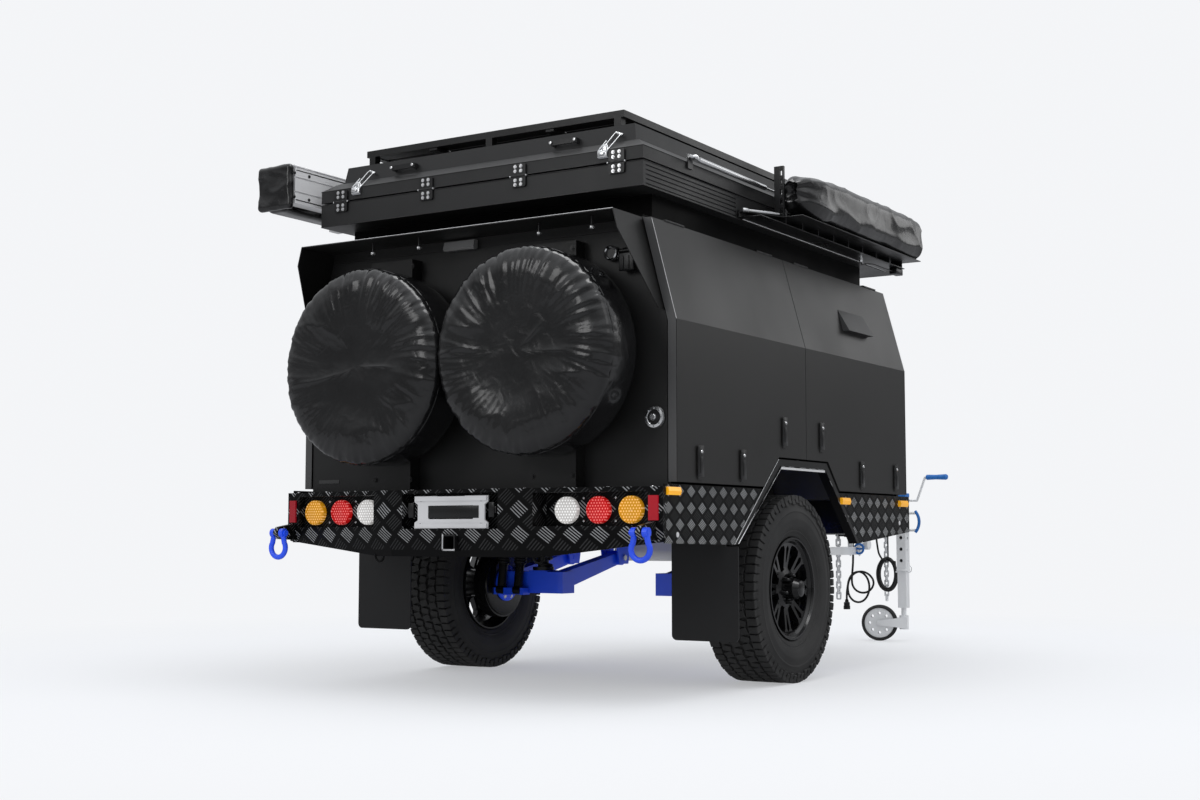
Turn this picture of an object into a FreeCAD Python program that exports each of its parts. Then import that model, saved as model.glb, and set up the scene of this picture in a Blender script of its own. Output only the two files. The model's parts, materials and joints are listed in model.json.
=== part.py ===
import FreeCAD, Part
import math
import os

# Off-road camper trailer, in millimetres.
# +X is the right-hand side, +Y is forward to the coupling, +Z is up.
# Lengths below are measured from the ground under the wheels' axis. The finished
# pieces are moved along Y so that the origin is the bottom centre of the whole.

Vec = FreeCAD.Vector

# Overall reach
NOSE_Y = 3370.0
SPARE_FACE_Y = -1370.0
AXLE_Y = -(NOSE_Y + SPARE_FACE_Y) / 2.0

# Clearances
SEAT = 0.3
DOOR_GAP = 6.0
LID_GAP = 6.0

# Body box
BODY_HALF = 931.0
BODY_TOP_HALF = 822.0
BODY_Z0 = 831.0
BELT_Z = 1449.0
BODY_TOP_Z = 1853.0
BODY_REAR_Y = -1060.0
BODY_FRONT_Y = 1262.0
SEAM_Y = 93.0
DOOR_T = 36.0
DOOR_HINGE_Y = (-880.0, -90.0, 280.0, 1080.0)
DOOR_HINGE_LEN = 150.0
DOOR_BARREL_R = 5.0
LATCH_REAR = ((-880.0, 905.0), (-520.0, 905.0), (-130.0, 1060.0))
LATCH_FRONT = ((250.0, 1060.0), (700.0, 905.0), (1120.0, 905.0))
WALL_T = 25.0
FLOOR_Z0 = 795.0
FLOOR_T = 30.0
WALL_SET = 4.0
SCOOP_Y = (590.0, 884.0)
SCOOP_Z = (1583.0, 1697.0)
SCOOP_OUT = 32.0

# Side skirt
SKIRT_IN = 7.0
SKIRT_X = BODY_HALF - SKIRT_IN
SKIRT_T = 5.0
SKIRT_TOP_Z = 822.0
SKIRT_REAR_Y = -1140.0
SKIRT_FRONT_Y = 1312.0
SKIRT_FRONT_Z = 647.0

# Road wheels
TYRE_R = 402.0
TYRE_W = 255.0
TYRE_OUT_X = SKIRT_X + 1.0
WHEEL_X = TYRE_OUT_X - TYRE_W / 2
TREAD_DEPTH = 11.0
TREAD_COUNT = 22
TREAD_CUT = 13.0
BEAD_R = 219.0
RIM_W = 215.0
RIM_WALL = 7.0
SPOKE_COUNT = 8
RIM_FACE_IN = 34.0
HUB_R = 70.0
HUB_CAP_R = 43.0
HUB_CAP_OUT = 18.0
DRUM_R = 160.0
DRUM_W = 62.0
DRUM_IN = 177.5
STUB_R = 22.0
STUB_FIT = 0.05

# Marker lamps: from, to and height of each on the right-hand skirt
MARKER_HALF = 15.0
MARKER_SPOTS = ((SKIRT_REAR_Y + 4.0, -1040.0, 795.0), (459.0, 551.0, 786.0), (1166.0, 1264.0, 786.0))

# Wheel arch
ARCH_TOP_Z = 919.0
ARCH_TOP_REAR_Y = -152.0
ARCH_TOP_FRONT_Y = 292.0
ARCH_FOOT_REAR_Y = -551.0
ARCH_FOOT_FRONT_Y = 640.0
ARCH_FOOT_Z = 592.0
ARCH_BAND = 32.0
ARCH_DOOR_GAP = 8.0
ARCH_DEPTH = 300.0
ARCH_WALL = 4.0

# Chassis
RAIL_X = 470.0
RAIL_W = 50.0
RAIL_H = 100.0
RAIL_WALL = 4.0
RAIL_REAR_Y = -1040.0
DRAWBAR_X = 48.0
DRAWBAR_Y0 = 1000.0
DRAWBAR_Y1 = 3110.0
DRAWBAR_Z0 = 635.0
ARM_CROSS_Y = 1980.0
NOSE_PLATE_HALF = 75.0
CROSS_Y = (-1000.0, -620.0, 700.0, 1200.0)
CROSS_W = 50.0
OUTRIGGER_Z0 = 640.0
OUTRIGGER_Y = (-640.0, 700.0, 1180.0)

# Mud flaps
FLAP_W = 302.0
FLAP_T = 6.0
FLAP_Z0 = 210.0
FLAP_Z1 = 585.0
FLAP_ROUND = 22.0

# Coupling
BALL_R = 25.0
BALL_FIT = 0.4
BALL_Y = 3325.0
BALL_Z = 712.0

# Rear bar
BAR_Z1 = 811.0
BAR_FOLD_Z = 651.0
BAR_END_Y = -1164.0
BAR_MID_Y = -1245.0
BAR_MID_X = 319.0
BAR_LOW_Z = 545.0
BAR_LOW_X = 410.0
BAR_LOW_END_Z = 606.0
BAR_LOW_LEAN = 40.0
BAR_T = 5.0
TIE_LOOP_X = 395.0
TIE_LOOP_R = 22.0
TIE_LOOP_WIRE_R = 5.0
WINCH_X = 237.0
WINCH_Z1 = 797.0
WINCH_DEPTH = 60.0
FAIRLEAD_HALF = 182.0
FAIRLEAD_SLOT = 110.0
LAMP_POCKET_X0 = BODY_HALF - 536.0
LAMP_POCKET_X1 = BODY_HALF - 73.0
LAMP_POCKET_Z0 = 664.0
LAMP_POCKET_Z1 = 793.0
LAMP_FLOOR_Y = -1140.0
LAMP_X = (BODY_HALF - 434.0, BODY_HALF - 290.0, BODY_HALF - 145.0)
LAMP_R = 52.5
LAMP_Z = 726.0
LAMP_FACE_Y = -1161.0
RECEIVER_SIDE = 64.0
RECEIVER_BORE = 51.0
RECEIVER_Z = 601.0
RECEIVER_LEN = 320.0

# Shackles
SHACKLE_X = BODY_HALF - 39.0
SHACKLE_Y = -1262.0
SHACKLE_Z = 640.0
SHACKLE_WIRE_R = 11.0
SHACKLE_BOW_R = 40.0
SHACKLE_DROP = 62.0
SHACKLE_JAW = 26.0
SHACKLE_EYE_R = 19.0
SHACKLE_PIN_R = 11.5
SHACKLE_LUG_T = 20.0

# Rear hood and carriers
HOOD_REAR_Y = -1270.0
HOOD_LIP = 80.0
HOOD_HALF = BODY_TOP_HALF - 42.0
HOOD_FOOT_Z = 1487.0
HOOD_FOOT_Y = -1100.0
HOOD_T = 4.0
CARRIER_X = (408.0, -408.0)
CARRIER_W = 220.0
CARRIER_OUT = 60.0
CARRIER_Z1 = 1780.0
SPARE_X = (408.0, -390.0)
SPARE_Z = (1334.0, 1315.0)
SPARE_R = 405.0
SPARE_ROUND = 55.0

# Tent
TENT_HALF = 816.0
TENT_REAR_Y = -1108.0
TENT_FRONT_Y = 1420.0
TENT_Z0 = 1966.0
TENT_BASE_Z1 = 2066.0
TENT_WALL = 24.0
TENT_FLOOR = 18.0
LID_BAND_Z1 = 2125.0
LID_SHOULDER_Z = 2162.0
LID_TOP_HALF = 745.0
LID_TOP_REAR_Y = -1042.0
LID_TOP_Z = 2236.0
LID_TOP_IN = 12.0
LID_HINGE_Y = TENT_REAR_Y - 7.0
LID_KNUCKLE_R = 5.0
LID_HINGE_X = (-700.0, -234.0, 237.0, 700.0)
LID_LEAF_HALF = 36.0
LID_LEAF_DOWN = 42.0
CATCH_X = (-612.0, 640.0)
LID_HANDLE_X = (-400.0, 420.0)
RISER_Y = (-950.0, -330.0, 330.0, 1050.0)
RISER_W = 60.0
ROOF_RAIL_IN = 60.0
ROOF_RAIL_W = 30.0
LOUVRE_Y0 = -1088.0
LOUVRE_Y1 = -340.0
LOUVRE_COUNT = 5
LOUVRE_DEPTH = 5.0

# Roof rack
RACK_HALF = 660.0
RACK_REAR_Y = -992.0
RACK_FRONT_Y = 1320.0
RACK_TOP_Z = 2309.0
RACK_TUBE_H = 28.0
RACK_TUBE_W = 34.0
RACK_SLATS = 5

# Gas struts on both sides of the tent
STRUT_X = TENT_HALF + 22.0
STRUT_LID_Y = -746.0
STRUT_LID_Z = TENT_BASE_Z1 + 76.0
STRUT_BASE_Y = 124.0
STRUT_BASE_Z = TENT_BASE_Z1 + 71.0
STRUT_TUBE_R = 11.0
STRUT_ROD_R = 5.0
STRUT_TUBE_LEN = 640.0
STRUT_EYE_R = 9.0
STRUT_PIN_R = 4.0

# Right-hand bag and its tray
BAG_X0 = TENT_HALF + 54.0
BAG_W = 180.0
BAG_ROUND = 60.0
SIDE_REACH = BAG_X0 + BAG_W
BAG_Y0 = -95.0
BAG_Y1 = 1310.0
BAG_Z1 = 2213.0
BAG_PLATE_T = 14.0
TRAY_Y0 = -330.0
TRAY_Y1 = 1285.0
TRAY_Z0 = 1968.0
TRAY_Z1 = 2001.0
TRAY_RIBS = 5
PLATE_SLOTS = 4

# Left-hand awning
AWNING_X0 = TENT_HALF + 44.0
AWNING_Y0 = -1270.0
AWNING_Y1 = 960.0
AWNING_Z0 = 2062.0
AWNING_Z1 = 2230.0
AWNING_CASE_T = 60.0
AWNING_DROP = 27.0
AWNING_END = 40.0
AWNING_ROUND = 40.0
AWNING_GROOVES = (AWNING_Z0 + 49.0, AWNING_Z0 + 113.0, AWNING_Z0 + 158.0)
AWNING_BRACKET_Y = (-1000.0, -100.0, 800.0)
AWNING_BRACKET_W = 60.0

# Jockey stand
JOCKEY_X = 270.0
JOCKEY_Y = 2880.0
JOCKEY_SLEEVE = 62.0
JOCKEY_SLEEVE_T = 4.0
JOCKEY_SLEEVE_Z0 = 420.0
JOCKEY_SLEEVE_Z1 = 862.0
JOCKEY_PIN_Z = (614.0, 545.0, 477.0)
JOCKEY_PIN_R = 8.0
JOCKEY_CAP_H = 22.0
CRANK_DOWN = 22.0
CRANK_R = 7.0
CRANK_SHAFT = 66.0
CRANK_ARM = 52.0
CRANK_GRIP_Z = 978.0
CRANK_GRIP_LEN = 132.0
HANDLE_Z0 = 640.0
HANDLE_Z1 = 786.0
HANDLE_R = 9.0
HANDLE_OUT = 50.0
HANDLE_BOW = 24.0
JOCKEY_LEG = JOCKEY_SLEEVE - 2 * JOCKEY_SLEEVE_T - 2 * SEAT
JOCKEY_LEG_Z0 = 198.0
JOCKEY_LEG_Z1 = 600.0
JOCKEY_WHEEL_R = 107.0
JOCKEY_WHEEL_W = 50.0
JOCKEY_RIM_R = 88.0
JOCKEY_TRAIL = 145.0
JOCKEY_TURN_DEG = 195.3
JOCKEY_FORK_R = 27.0
JOCKEY_FORK_Z0 = 70.0
JOCKEY_FORK_Z1 = 152.0

# Drop stabiliser legs under the drawbar
STAB_X = 280.0
STAB_Y = 2130.0
STAB_Z = 545.0
STAB_LEN = 495.0
STAB_TUBE = 44.0

# Running gear
ARM_BEAM_Z = 410.0
ARM_BEAM = 100.0
ARM_IN_X = 250.0
PIVOT_Y = 500.0
PIVOT_Z = 520.0
PIVOT_X = (300.0, 590.0)
SHOCK_X = (480.0, 575.0)
SHOCK_FOOT_Y = -85.0
SHOCK_FOOT_Z = 374.0
SHOCK_TOP_Y = -40.0
SHOCK_TOP_Z = 678.0
SHOCK_R = 25.0
SPRING_X = 392.0
SPRING_R = 46.0
SPRING_WIRE_R = 7.0
SPRING_TURNS = 6
SPRING_CUP = 16.0
SPRING_SEAT_T = 6.0

# Water tank
TANK_IN = 5.0
TANK_Y0 = 760.0
TANK_Y1 = 1150.0
TANK_Z0 = 500.0
TANK_ROUND = 60.0

# Toolbox on the drawbar
BOX_HALF = 520.0
BOX_Y0 = 1320.0
BOX_Y1 = 1830.0
BOX_Z1 = 1240.0
BOX_T = 3.0
BOX_LID_H = 40.0
BOX_HINGE_X = (-350.0, 350.0)
BOX_KNUCKLE_R = 6.0

# Safety chains
CHAIN_WIRE = 8.0
CHAIN_INNER = 30.0
CHAIN_WIDTH = 14.0
CHAIN_PIN_R = 5.0
CHAIN_SPOTS = ((190.0, 2105.0, 620.0), (31.0, 3205.0, 630.0))
CHAIN_LINKS = (12, 14)

# Right-hand lead: gland under the drawbar, two loose hanging loops and a plug
LEAD_R = 6.0
LEAD_PLUG_R = 19.0
LEAD_PLUG_LEN = 56.0
LEAD_DROP = ((240.0, 2195.0, 600.0), (240.0, 2195.0, 556.0), (241.0, 2195.0, 512.0), (239.0, 2195.0,
                                                                                      465.0),
             (234.0, 2195.0, 418.0))
LEAD_LOOP_POINTS = 12
LEAD_LOOP_SMALL = (296.0, 368.0, 66.0, 62.0)
LEAD_LOOP_WIDE = (261.0, 339.5, 69.0, 88.5)
LEAD_TURNS = 2
LEAD_SPREAD = 14.0
LEAD_TAIL = ((186.0, 2224.0, 303.0), (186.0, 2224.0, 268.0))

# Front lead: gland on the drawbar's nose, hanging coil on a hook
COIL_AT = (53.0, 3160.0, 390.0)
COIL_HALF_W = 70.0
COIL_HALF_H = 108.0
COIL_RING = 28.0
COIL_T = 30.0
COIL_HOOK_R = 4.0
FRONT_LEAD = ((-28.0, 3122.0, 686.0), (-28.0, 3145.0, 686.0), (-28.0, 3164.5, 674.8), (-27.0, 3175.5,
                                                                                       655.3),
              (-23.0, 3175.5, 625.0), (-17.0, 3171.0, 588.0), (-9.0, 3164.0, 550.0), (0.8, 3160.0, 509.0),
              (19.8, 3160.0, 485.7))


def box(x0, x1, y0, y1, z0, z1):
    """A block between two corners."""
    low = Vec(min(x0, x1), min(y0, y1), min(z0, z1))
    return Part.makeBox(abs(x1 - x0), abs(y1 - y0), abs(z1 - z0), low)


def face_of(points):
    """A flat face on a closed outline of points."""
    return Part.Face(Part.makePolygon(list(points) + [points[0]]))


def along_x(outline, x0, x1):
    """An outline of (y, z) points drawn out from x0 to x1."""
    face = face_of([Vec(x0, y, z) for y, z in outline])
    return face.extrude(Vec(x1 - x0, 0, 0))


def along_y(outline, y0, y1):
    """An outline of (x, z) points drawn out from y0 to y1."""
    face = face_of([Vec(x, y0, z) for x, z in outline])
    return face.extrude(Vec(0, y1 - y0, 0))


def along_z(outline, z0, z1):
    """An outline of (x, y) points drawn out from z0 to z1."""
    face = face_of([Vec(x, y, z0) for x, y in outline])
    return face.extrude(Vec(0, 0, z1 - z0))


def rod(radius, start, end):
    """A round bar between two points."""
    line = end - start
    return Part.makeCylinder(radius, line.Length, start, line)


def fuse(pieces):
    """Several touching pieces as one solid."""
    whole = pieces[0]
    if len(pieces) > 1:
        whole = whole.multiFuse(pieces[1:])
    return whole.removeSplitter()


def flipped(shape):
    """The same piece on the left-hand side."""
    return shape.mirror(Vec(0, 0, 0), Vec(1, 0, 0))


def both_sides(shape):
    """A right-hand piece with its left-hand twin, as two solids."""
    return Part.makeCompound([shape, flipped(shape)])


def body_half_at(z):
    """Half width of the outer skin at a height."""
    if z <= BELT_Z:
        return BODY_HALF
    lean = (BODY_HALF - BODY_TOP_HALF) / (BODY_TOP_Z - BELT_Z)
    return BODY_HALF - (z - BELT_Z) * lean


def section(inset, z0, z1):
    """The body's cross-section, set in from the outer skin, as (x, z) points."""
    right = [(body_half_at(z0) - inset, z0), (BODY_HALF - inset, BELT_Z), (body_half_at(z1) - inset, z1)]
    left = [(-x, z) for x, z in reversed(right)]
    return right + left


def arch_outline(grow):
    """The wheel arch opening as (y, z) points, grown all round, open at the foot."""
    return [
        (ARCH_FOOT_REAR_Y - grow, ARCH_FOOT_Z - 60.0),
        (ARCH_FOOT_REAR_Y - grow, ARCH_FOOT_Z),
        (ARCH_TOP_REAR_Y - grow * 0.7, ARCH_TOP_Z + grow),
        (ARCH_TOP_FRONT_Y + grow * 0.7, ARCH_TOP_Z + grow),
        (ARCH_FOOT_FRONT_Y + grow, ARCH_FOOT_Z),
        (ARCH_FOOT_FRONT_Y + grow, ARCH_FOOT_Z - 60.0),
    ]


def drawbar_outline(inner, outer):
    """One A-frame rail in plan, between two distances from its centre line."""
    run = Vec(DRAWBAR_X - RAIL_X, DRAWBAR_Y1 - DRAWBAR_Y0, 0)
    side = Vec(run.y, -run.x, 0).normalize()
    rear = Vec(RAIL_X, DRAWBAR_Y0, 0)
    front = Vec(DRAWBAR_X, DRAWBAR_Y1, 0)
    points = [rear + side * inner, rear + side * outer, front + side * outer, front + side * inner]
    return [(p.x, p.y) for p in points]


def drawbar_x_at(y):
    """Centre line of the right A-frame rail at a distance forward."""
    share = (y - DRAWBAR_Y0) / (DRAWBAR_Y1 - DRAWBAR_Y0)
    return RAIL_X + (DRAWBAR_X - RAIL_X) * share


def rail_room():
    """The space of the right main rail, which a drawbar arm stops against."""
    half = RAIL_W / 2 - RAIL_WALL
    return box(RAIL_X - half, RAIL_X + half, RAIL_REAR_Y, BODY_FRONT_Y + 1.0,
               FLOOR_Z0 - RAIL_H + RAIL_WALL, FLOOR_Z0)


def chain_lugs():
    """Pins that carry the top link of each safety chain."""
    inner = CHAIN_INNER / 2 - CHAIN_PIN_R - SEAT
    pieces = []
    x, y, top = CHAIN_SPOTS[0]
    pieces.append(rod(CHAIN_PIN_R, Vec(x - 14.0, y, top + inner), Vec(drawbar_x_at(y), y, top + inner)))
    pieces.append(box(drawbar_x_at(y) - 18.0, drawbar_x_at(y) - 2.0, y - 12.0, y + 12.0,
                      top + inner - 8.0,
                      DRAWBAR_Z0 + 2.0))
    x, y, top = CHAIN_SPOTS[1]
    pieces.append(rod(CHAIN_PIN_R, Vec(x, DRAWBAR_Y1 - 6.0, top + inner), Vec(x, y + 14.0, top + inner)))
    pieces.append(box(-DRAWBAR_X - 20.0, DRAWBAR_X + 20.0, DRAWBAR_Y1 - 8.0, DRAWBAR_Y1,
                      top + inner - 10.0,
                      DRAWBAR_Z0 + RAIL_H - 2.0))
    return pieces


def chassis_frame():
    """Main rails, cross-members, outriggers and the A-frame drawbar, welded."""
    half, wall = RAIL_W / 2, RAIL_WALL
    rail = box(RAIL_X - half, RAIL_X + half, RAIL_REAR_Y, BODY_FRONT_Y, FLOOR_Z0 - RAIL_H, FLOOR_Z0)
    bore = box(RAIL_X - half + wall, RAIL_X + half - wall, RAIL_REAR_Y + wall, BODY_FRONT_Y + 1.0,
               FLOOR_Z0 - RAIL_H + wall, FLOOR_Z0 - wall)
    arm = along_z(drawbar_outline(-half, half), DRAWBAR_Z0, DRAWBAR_Z0 + RAIL_H)
    arm_bore = along_z(drawbar_outline(wall - half, half - wall), DRAWBAR_Z0 + wall,
                       DRAWBAR_Z0 + RAIL_H - wall)
    arm_bore.translate(Vec(0, 40.0, 0))
    rail = rail.cut(bore)
    arm = arm.cut(arm_bore).cut(rail_room())
    pieces = [rail, flipped(rail), arm, flipped(arm)]
    for y in CROSS_Y:
        pieces.append(box(-RAIL_X, RAIL_X, y, y + CROSS_W, FLOOR_Z0 - RAIL_H + 20.0, FLOOR_Z0))
    for y in OUTRIGGER_Y:
        plate = box(RAIL_X, SKIRT_X - SKIRT_T - SEAT, y, y + 8.0, OUTRIGGER_Z0, FLOOR_Z0)
        pieces += [plate, flipped(plate)]
    pieces.append(box(-drawbar_x_at(ARM_CROSS_Y), drawbar_x_at(ARM_CROSS_Y), ARM_CROSS_Y - 30.0,
                      ARM_CROSS_Y + 20.0,
                      DRAWBAR_Z0 + 20.0, DRAWBAR_Z0 + RAIL_H - 10.0))
    nose_top = DRAWBAR_Z0 + RAIL_H
    pieces.append(box(-NOSE_PLATE_HALF, NOSE_PLATE_HALF, DRAWBAR_Y1 - 150.0, DRAWBAR_Y1 + 20.0,
                      nose_top - 12.0, nose_top))
    return fuse(pieces + chain_lugs() + lead_glands() + [coil_hook()])


def lead_glands():
    """Tapered glands that the two leads come out of: under the right arm and on the nose plate."""
    x, y, z = LEAD_DROP[0]
    under = Part.makeCone(LEAD_R + 2.0, LEAD_R + 8.0, DRAWBAR_Z0 + 2.0 - z, Vec(x, y, z), Vec(0, 0, 1))
    x, y, z = FRONT_LEAD[0]
    nose = Part.makeCone(LEAD_R + 2.0, LEAD_R + 7.0, y - DRAWBAR_Y1 + 2.0, Vec(x, y, z), Vec(0, -1, 0))
    return [under, nose]


def coil_hook():
    """Bent round bar on the nose plate that the front lead's coil hangs on."""
    x, y, z = COIL_AT
    back = y + COIL_T / 2 + COIL_HOOK_R + SEAT
    under = z + COIL_HALF_H - COIL_RING - COIL_HOOK_R - SEAT
    near, high = y - COIL_T / 2 - COIL_HOOK_R, DRAWBAR_Z0 + 20.0
    spots = [Vec(x, DRAWBAR_Y1 - 2.0, high), Vec(x, back, high), Vec(x, back, under), Vec(x, near, under),
             Vec(x, near - COIL_HOOK_R, under + 14.0)]
    pieces = [Part.makeSphere(COIL_HOOK_R, spot) for spot in spots]
    for start, end in zip(spots, spots[1:]):
        pieces.append(rod(COIL_HOOK_R, start, end))
    return fuse(pieces)


def cord_path(points, label):
    """Straight runs joined by tangent arcs, as large as the shorter run at each point allows."""
    spots = [Vec(*point) for point in points]
    edges, radii = [], []
    last = spots[0]
    for before, here, after in zip(spots, spots[1:], spots[2:]):
        into, away = here - before, after - here
        reach = 0.45 * min(into.Length, away.Length)
        into.normalize()
        away.normalize()
        half_turn = into.getAngle(away) / 2
        radius = reach / math.tan(half_turn)
        inward = (away - into).normalize()
        middle = here + inward * (radius / math.cos(half_turn) - radius)
        start, end = here - into * reach, here + away * reach
        edges.append(Part.LineSegment(last, start).toShape())
        edges.append(Part.Arc(start, middle, end).toShape())
        radii.append(radius)
        last = end
    edges.append(Part.LineSegment(last, spots[-1]).toShape())
    path = Part.Wire(edges)
    print("%s length %.0f, radii %.0f to %.0f" % (label, path.Length, min(radii), max(radii)))
    return path


def cord_tube(points, label):
    """A lead's tube along its route."""
    path = cord_path(points, label)
    start, heading = Vec(*points[0]), Vec(*points[1]) - Vec(*points[0])
    ring = Part.Wire([Part.makeCircle(LEAD_R, start, heading)])
    tube = path.makePipeShell([ring], True, False)
    expected = math.pi * LEAD_R ** 2 * path.Length
    print("%s volume %.0f, section by length %.0f" % (label, tube.Volume, expected))
    return tube


def lead_loops():
    """Points of the hanging loops: they start on the left side, go down first and grow from turn to turn."""
    points = []
    for index in range(LEAD_LOOP_POINTS * LEAD_TURNS + 1):
        turn = index / LEAD_LOOP_POINTS
        share = min(1.0, max(0.0, (turn - 0.5) / 0.6))
        x, z, wide, high = [a + (b - a) * share for a, b in zip(LEAD_LOOP_SMALL, LEAD_LOOP_WIDE)]
        angle = math.pi + 2 * math.pi * turn
        y = LEAD_DROP[-1][1] + LEAD_SPREAD * turn
        points.append((x + wide * math.cos(angle), y, z + high * math.sin(angle)))
    return points


def lead_right():
    """The right-hand lead from its gland through its loops to the plug."""
    return cord_tube(list(LEAD_DROP) + lead_loops() + list(LEAD_TAIL), "lead_right")


def lead_front():
    """The front lead from its gland down to its coil."""
    return cord_tube(FRONT_LEAD, "lead_front")


def lead_coil():
    """The tied coil of the front lead as one closed ring."""
    x, y, z = COIL_AT
    front = Vec(x, y - COIL_T / 2, z)

    def oval(inset):
        """An upright oval in the coil's plane."""
        top, side = z + COIL_HALF_H - inset, x + COIL_HALF_W - inset
        shape = Part.Ellipse(Vec(x, front.y, top), Vec(side, front.y, z), front)
        return Part.Wire([shape.toShape()])

    ring = Part.Face([oval(0.0), oval(COIL_RING)], "Part::FaceMakerCheese").extrude(Vec(0, COIL_T, 0))
    return ring.makeFillet(9.0, ring.Edges)


def lead_plug():
    """Round plug on the end of the right-hand lead."""
    x, y, z = LEAD_TAIL[-1]
    outline = [(0.0, 0.0), (LEAD_R + 3.0, 0.0), (LEAD_R + 5.0, 14.0), (LEAD_PLUG_R - 2.0, 18.0),
               (LEAD_PLUG_R - 2.0, 36.0), (LEAD_PLUG_R, 37.0), (LEAD_PLUG_R, LEAD_PLUG_LEN), (0.0,
                                                                                              LEAD_PLUG_LEN)]
    return face_of([Vec(x + r, y, z - d) for r, d in outline]).revolve(Vec(x, y, 0), Vec(0, 0, 1), 360)


def coupling():
    """Ball coupling with its flange, head, socket and latch lever."""
    flange_z = DRAWBAR_Z0 + RAIL_H + SEAT
    profile = [
        (2990.0, flange_z), (3215.0, flange_z), (3240.0, BALL_Z - 30.0), (NOSE_Y - 14.0, BALL_Z - 30.0),
        (NOSE_Y, BALL_Z - 10.0), (NOSE_Y, BALL_Z + 22.0), (NOSE_Y - 30.0, BALL_Z + 48.0),
        (3210.0, BALL_Z + 62.0), (3110.0, flange_z + 26.0), (2990.0, flange_z + 16.0),
    ]
    head = along_x(profile, -42.0, 42.0)
    socket = Part.makeSphere(BALL_R + BALL_FIT, Vec(0, BALL_Y, BALL_Z))
    mouth = rod(BALL_R + BALL_FIT, Vec(0, BALL_Y, BALL_Z - 60.0), Vec(0, BALL_Y, BALL_Z))
    lever = along_x([(3190.0, BALL_Z + 66.0), (3300.0, BALL_Z + 50.0), (3320.0, BALL_Z + 62.0),
                     (3200.0, BALL_Z + 92.0)], -12.0, 12.0)
    return fuse([head, lever]).cut(fuse([socket, mouth]))


def body_shell():
    """Hollow body with a floor, end walls, roof, middle bulkhead and wheel tubs."""
    inset = DOOR_T + DOOR_GAP
    rear = BODY_REAR_Y + WALL_SET
    front = BODY_FRONT_Y - WALL_SET
    low = FLOOR_Z0 + FLOOR_T
    high = BODY_TOP_Z - 8.0
    floor_half = BODY_HALF - inset
    roof_half = BODY_TOP_HALF - DOOR_T - DOOR_GAP / 2
    pieces = [
        box(-floor_half, floor_half, rear, front, FLOOR_Z0 + SEAT, low),
        box(-roof_half, roof_half, rear, front, BODY_TOP_Z - 20.0, BODY_TOP_Z + 12.0),
        along_y(section(inset, low, high), rear, rear + WALL_T),
        along_y(section(inset, low, high), front - WALL_T, front),
        along_y(section(inset, low, high), SEAM_Y - WALL_T / 2, SEAM_Y + WALL_T / 2),
    ]
    shell = fuse(pieces + roof_frame() + roof_hinges())
    inner_x = SKIRT_X - ARCH_DEPTH
    tub = along_x(arch_outline(ARCH_WALL), inner_x - ARCH_WALL, floor_half)
    hollow = along_x(arch_outline(0.0), inner_x, floor_half + 10.0)
    under = box(inner_x - 20.0, floor_half + 20.0, ARCH_FOOT_REAR_Y - 200.0, ARCH_FOOT_FRONT_Y + 200.0,
                ARCH_FOOT_Z - 200.0, FLOOR_Z0 + SEAT)
    tub = tub.cut(under)
    shell = fuse([shell, tub, flipped(tub)])
    return shell.cut(hollow).cut(flipped(hollow))


def roof_frame():
    """Frame on the roof that the tent stands on: hat-section bearers between two side rails."""
    half = BODY_TOP_HALF - ROOF_RAIL_IN
    low, high = BODY_TOP_Z, TENT_Z0 - SEAT
    foot = low + 18.0
    flange = 18.0
    pieces = []
    for y in RISER_Y:
        hat = [(y - flange, low), (y + RISER_W + flange, low), (y + RISER_W + flange, foot),
               (y + RISER_W, foot),
               (y + RISER_W, high), (y, high), (y, foot), (y - flange, foot)]
        pieces.append(along_x(hat, -half + 5.0, half - 5.0))
    rail = box(half - ROOF_RAIL_W, half, RISER_Y[0], RISER_Y[-1] + RISER_W, low, high)
    return pieces + [rail, flipped(rail)]


def hinge_barrels(centre_y, first, radius):
    """Every second of five short barrels on the door's swing axis, along Y."""
    step = DOOR_HINGE_LEN / 5
    start = centre_y - DOOR_HINGE_LEN / 2
    return [rod(radius, Vec(BODY_TOP_HALF, start + step * i + SEAT, BODY_TOP_Z),
                Vec(BODY_TOP_HALF, start + step * (i + 1), BODY_TOP_Z)) for i in range(first, 5, 2)]


def roof_hinges():
    """The roof's half of each door hinge: barrels with a strap that runs in over the roof's edge."""
    step = DOOR_HINGE_LEN / 5
    inner = BODY_TOP_HALF - DOOR_T - DOOR_GAP
    pieces = []
    for centre_y in DOOR_HINGE_Y:
        pieces += hinge_barrels(centre_y, 0, DOOR_BARREL_R)
        start = centre_y - DOOR_HINGE_LEN / 2
        for i in range(0, 5, 2):
            pieces.append(box(inner, BODY_TOP_HALF, start + step * i + SEAT, start + step * (i + 1),
                              BODY_TOP_Z + DOOR_BARREL_R - 4.0, BODY_TOP_Z + DOOR_BARREL_R))
    return pieces + [flipped(piece) for piece in pieces]


def hang_door(panel, y0, y1):
    """A door panel notched for the roof's barrels and fused with its own."""
    for centre_y in DOOR_HINGE_Y:
        if y0 < centre_y < y1:
            panel = panel.cut(fuse(hinge_barrels(centre_y, 0, DOOR_BARREL_R + 0.8)))
            panel = fuse([panel] + hinge_barrels(centre_y, 1, DOOR_BARREL_R))
    return panel


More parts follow.
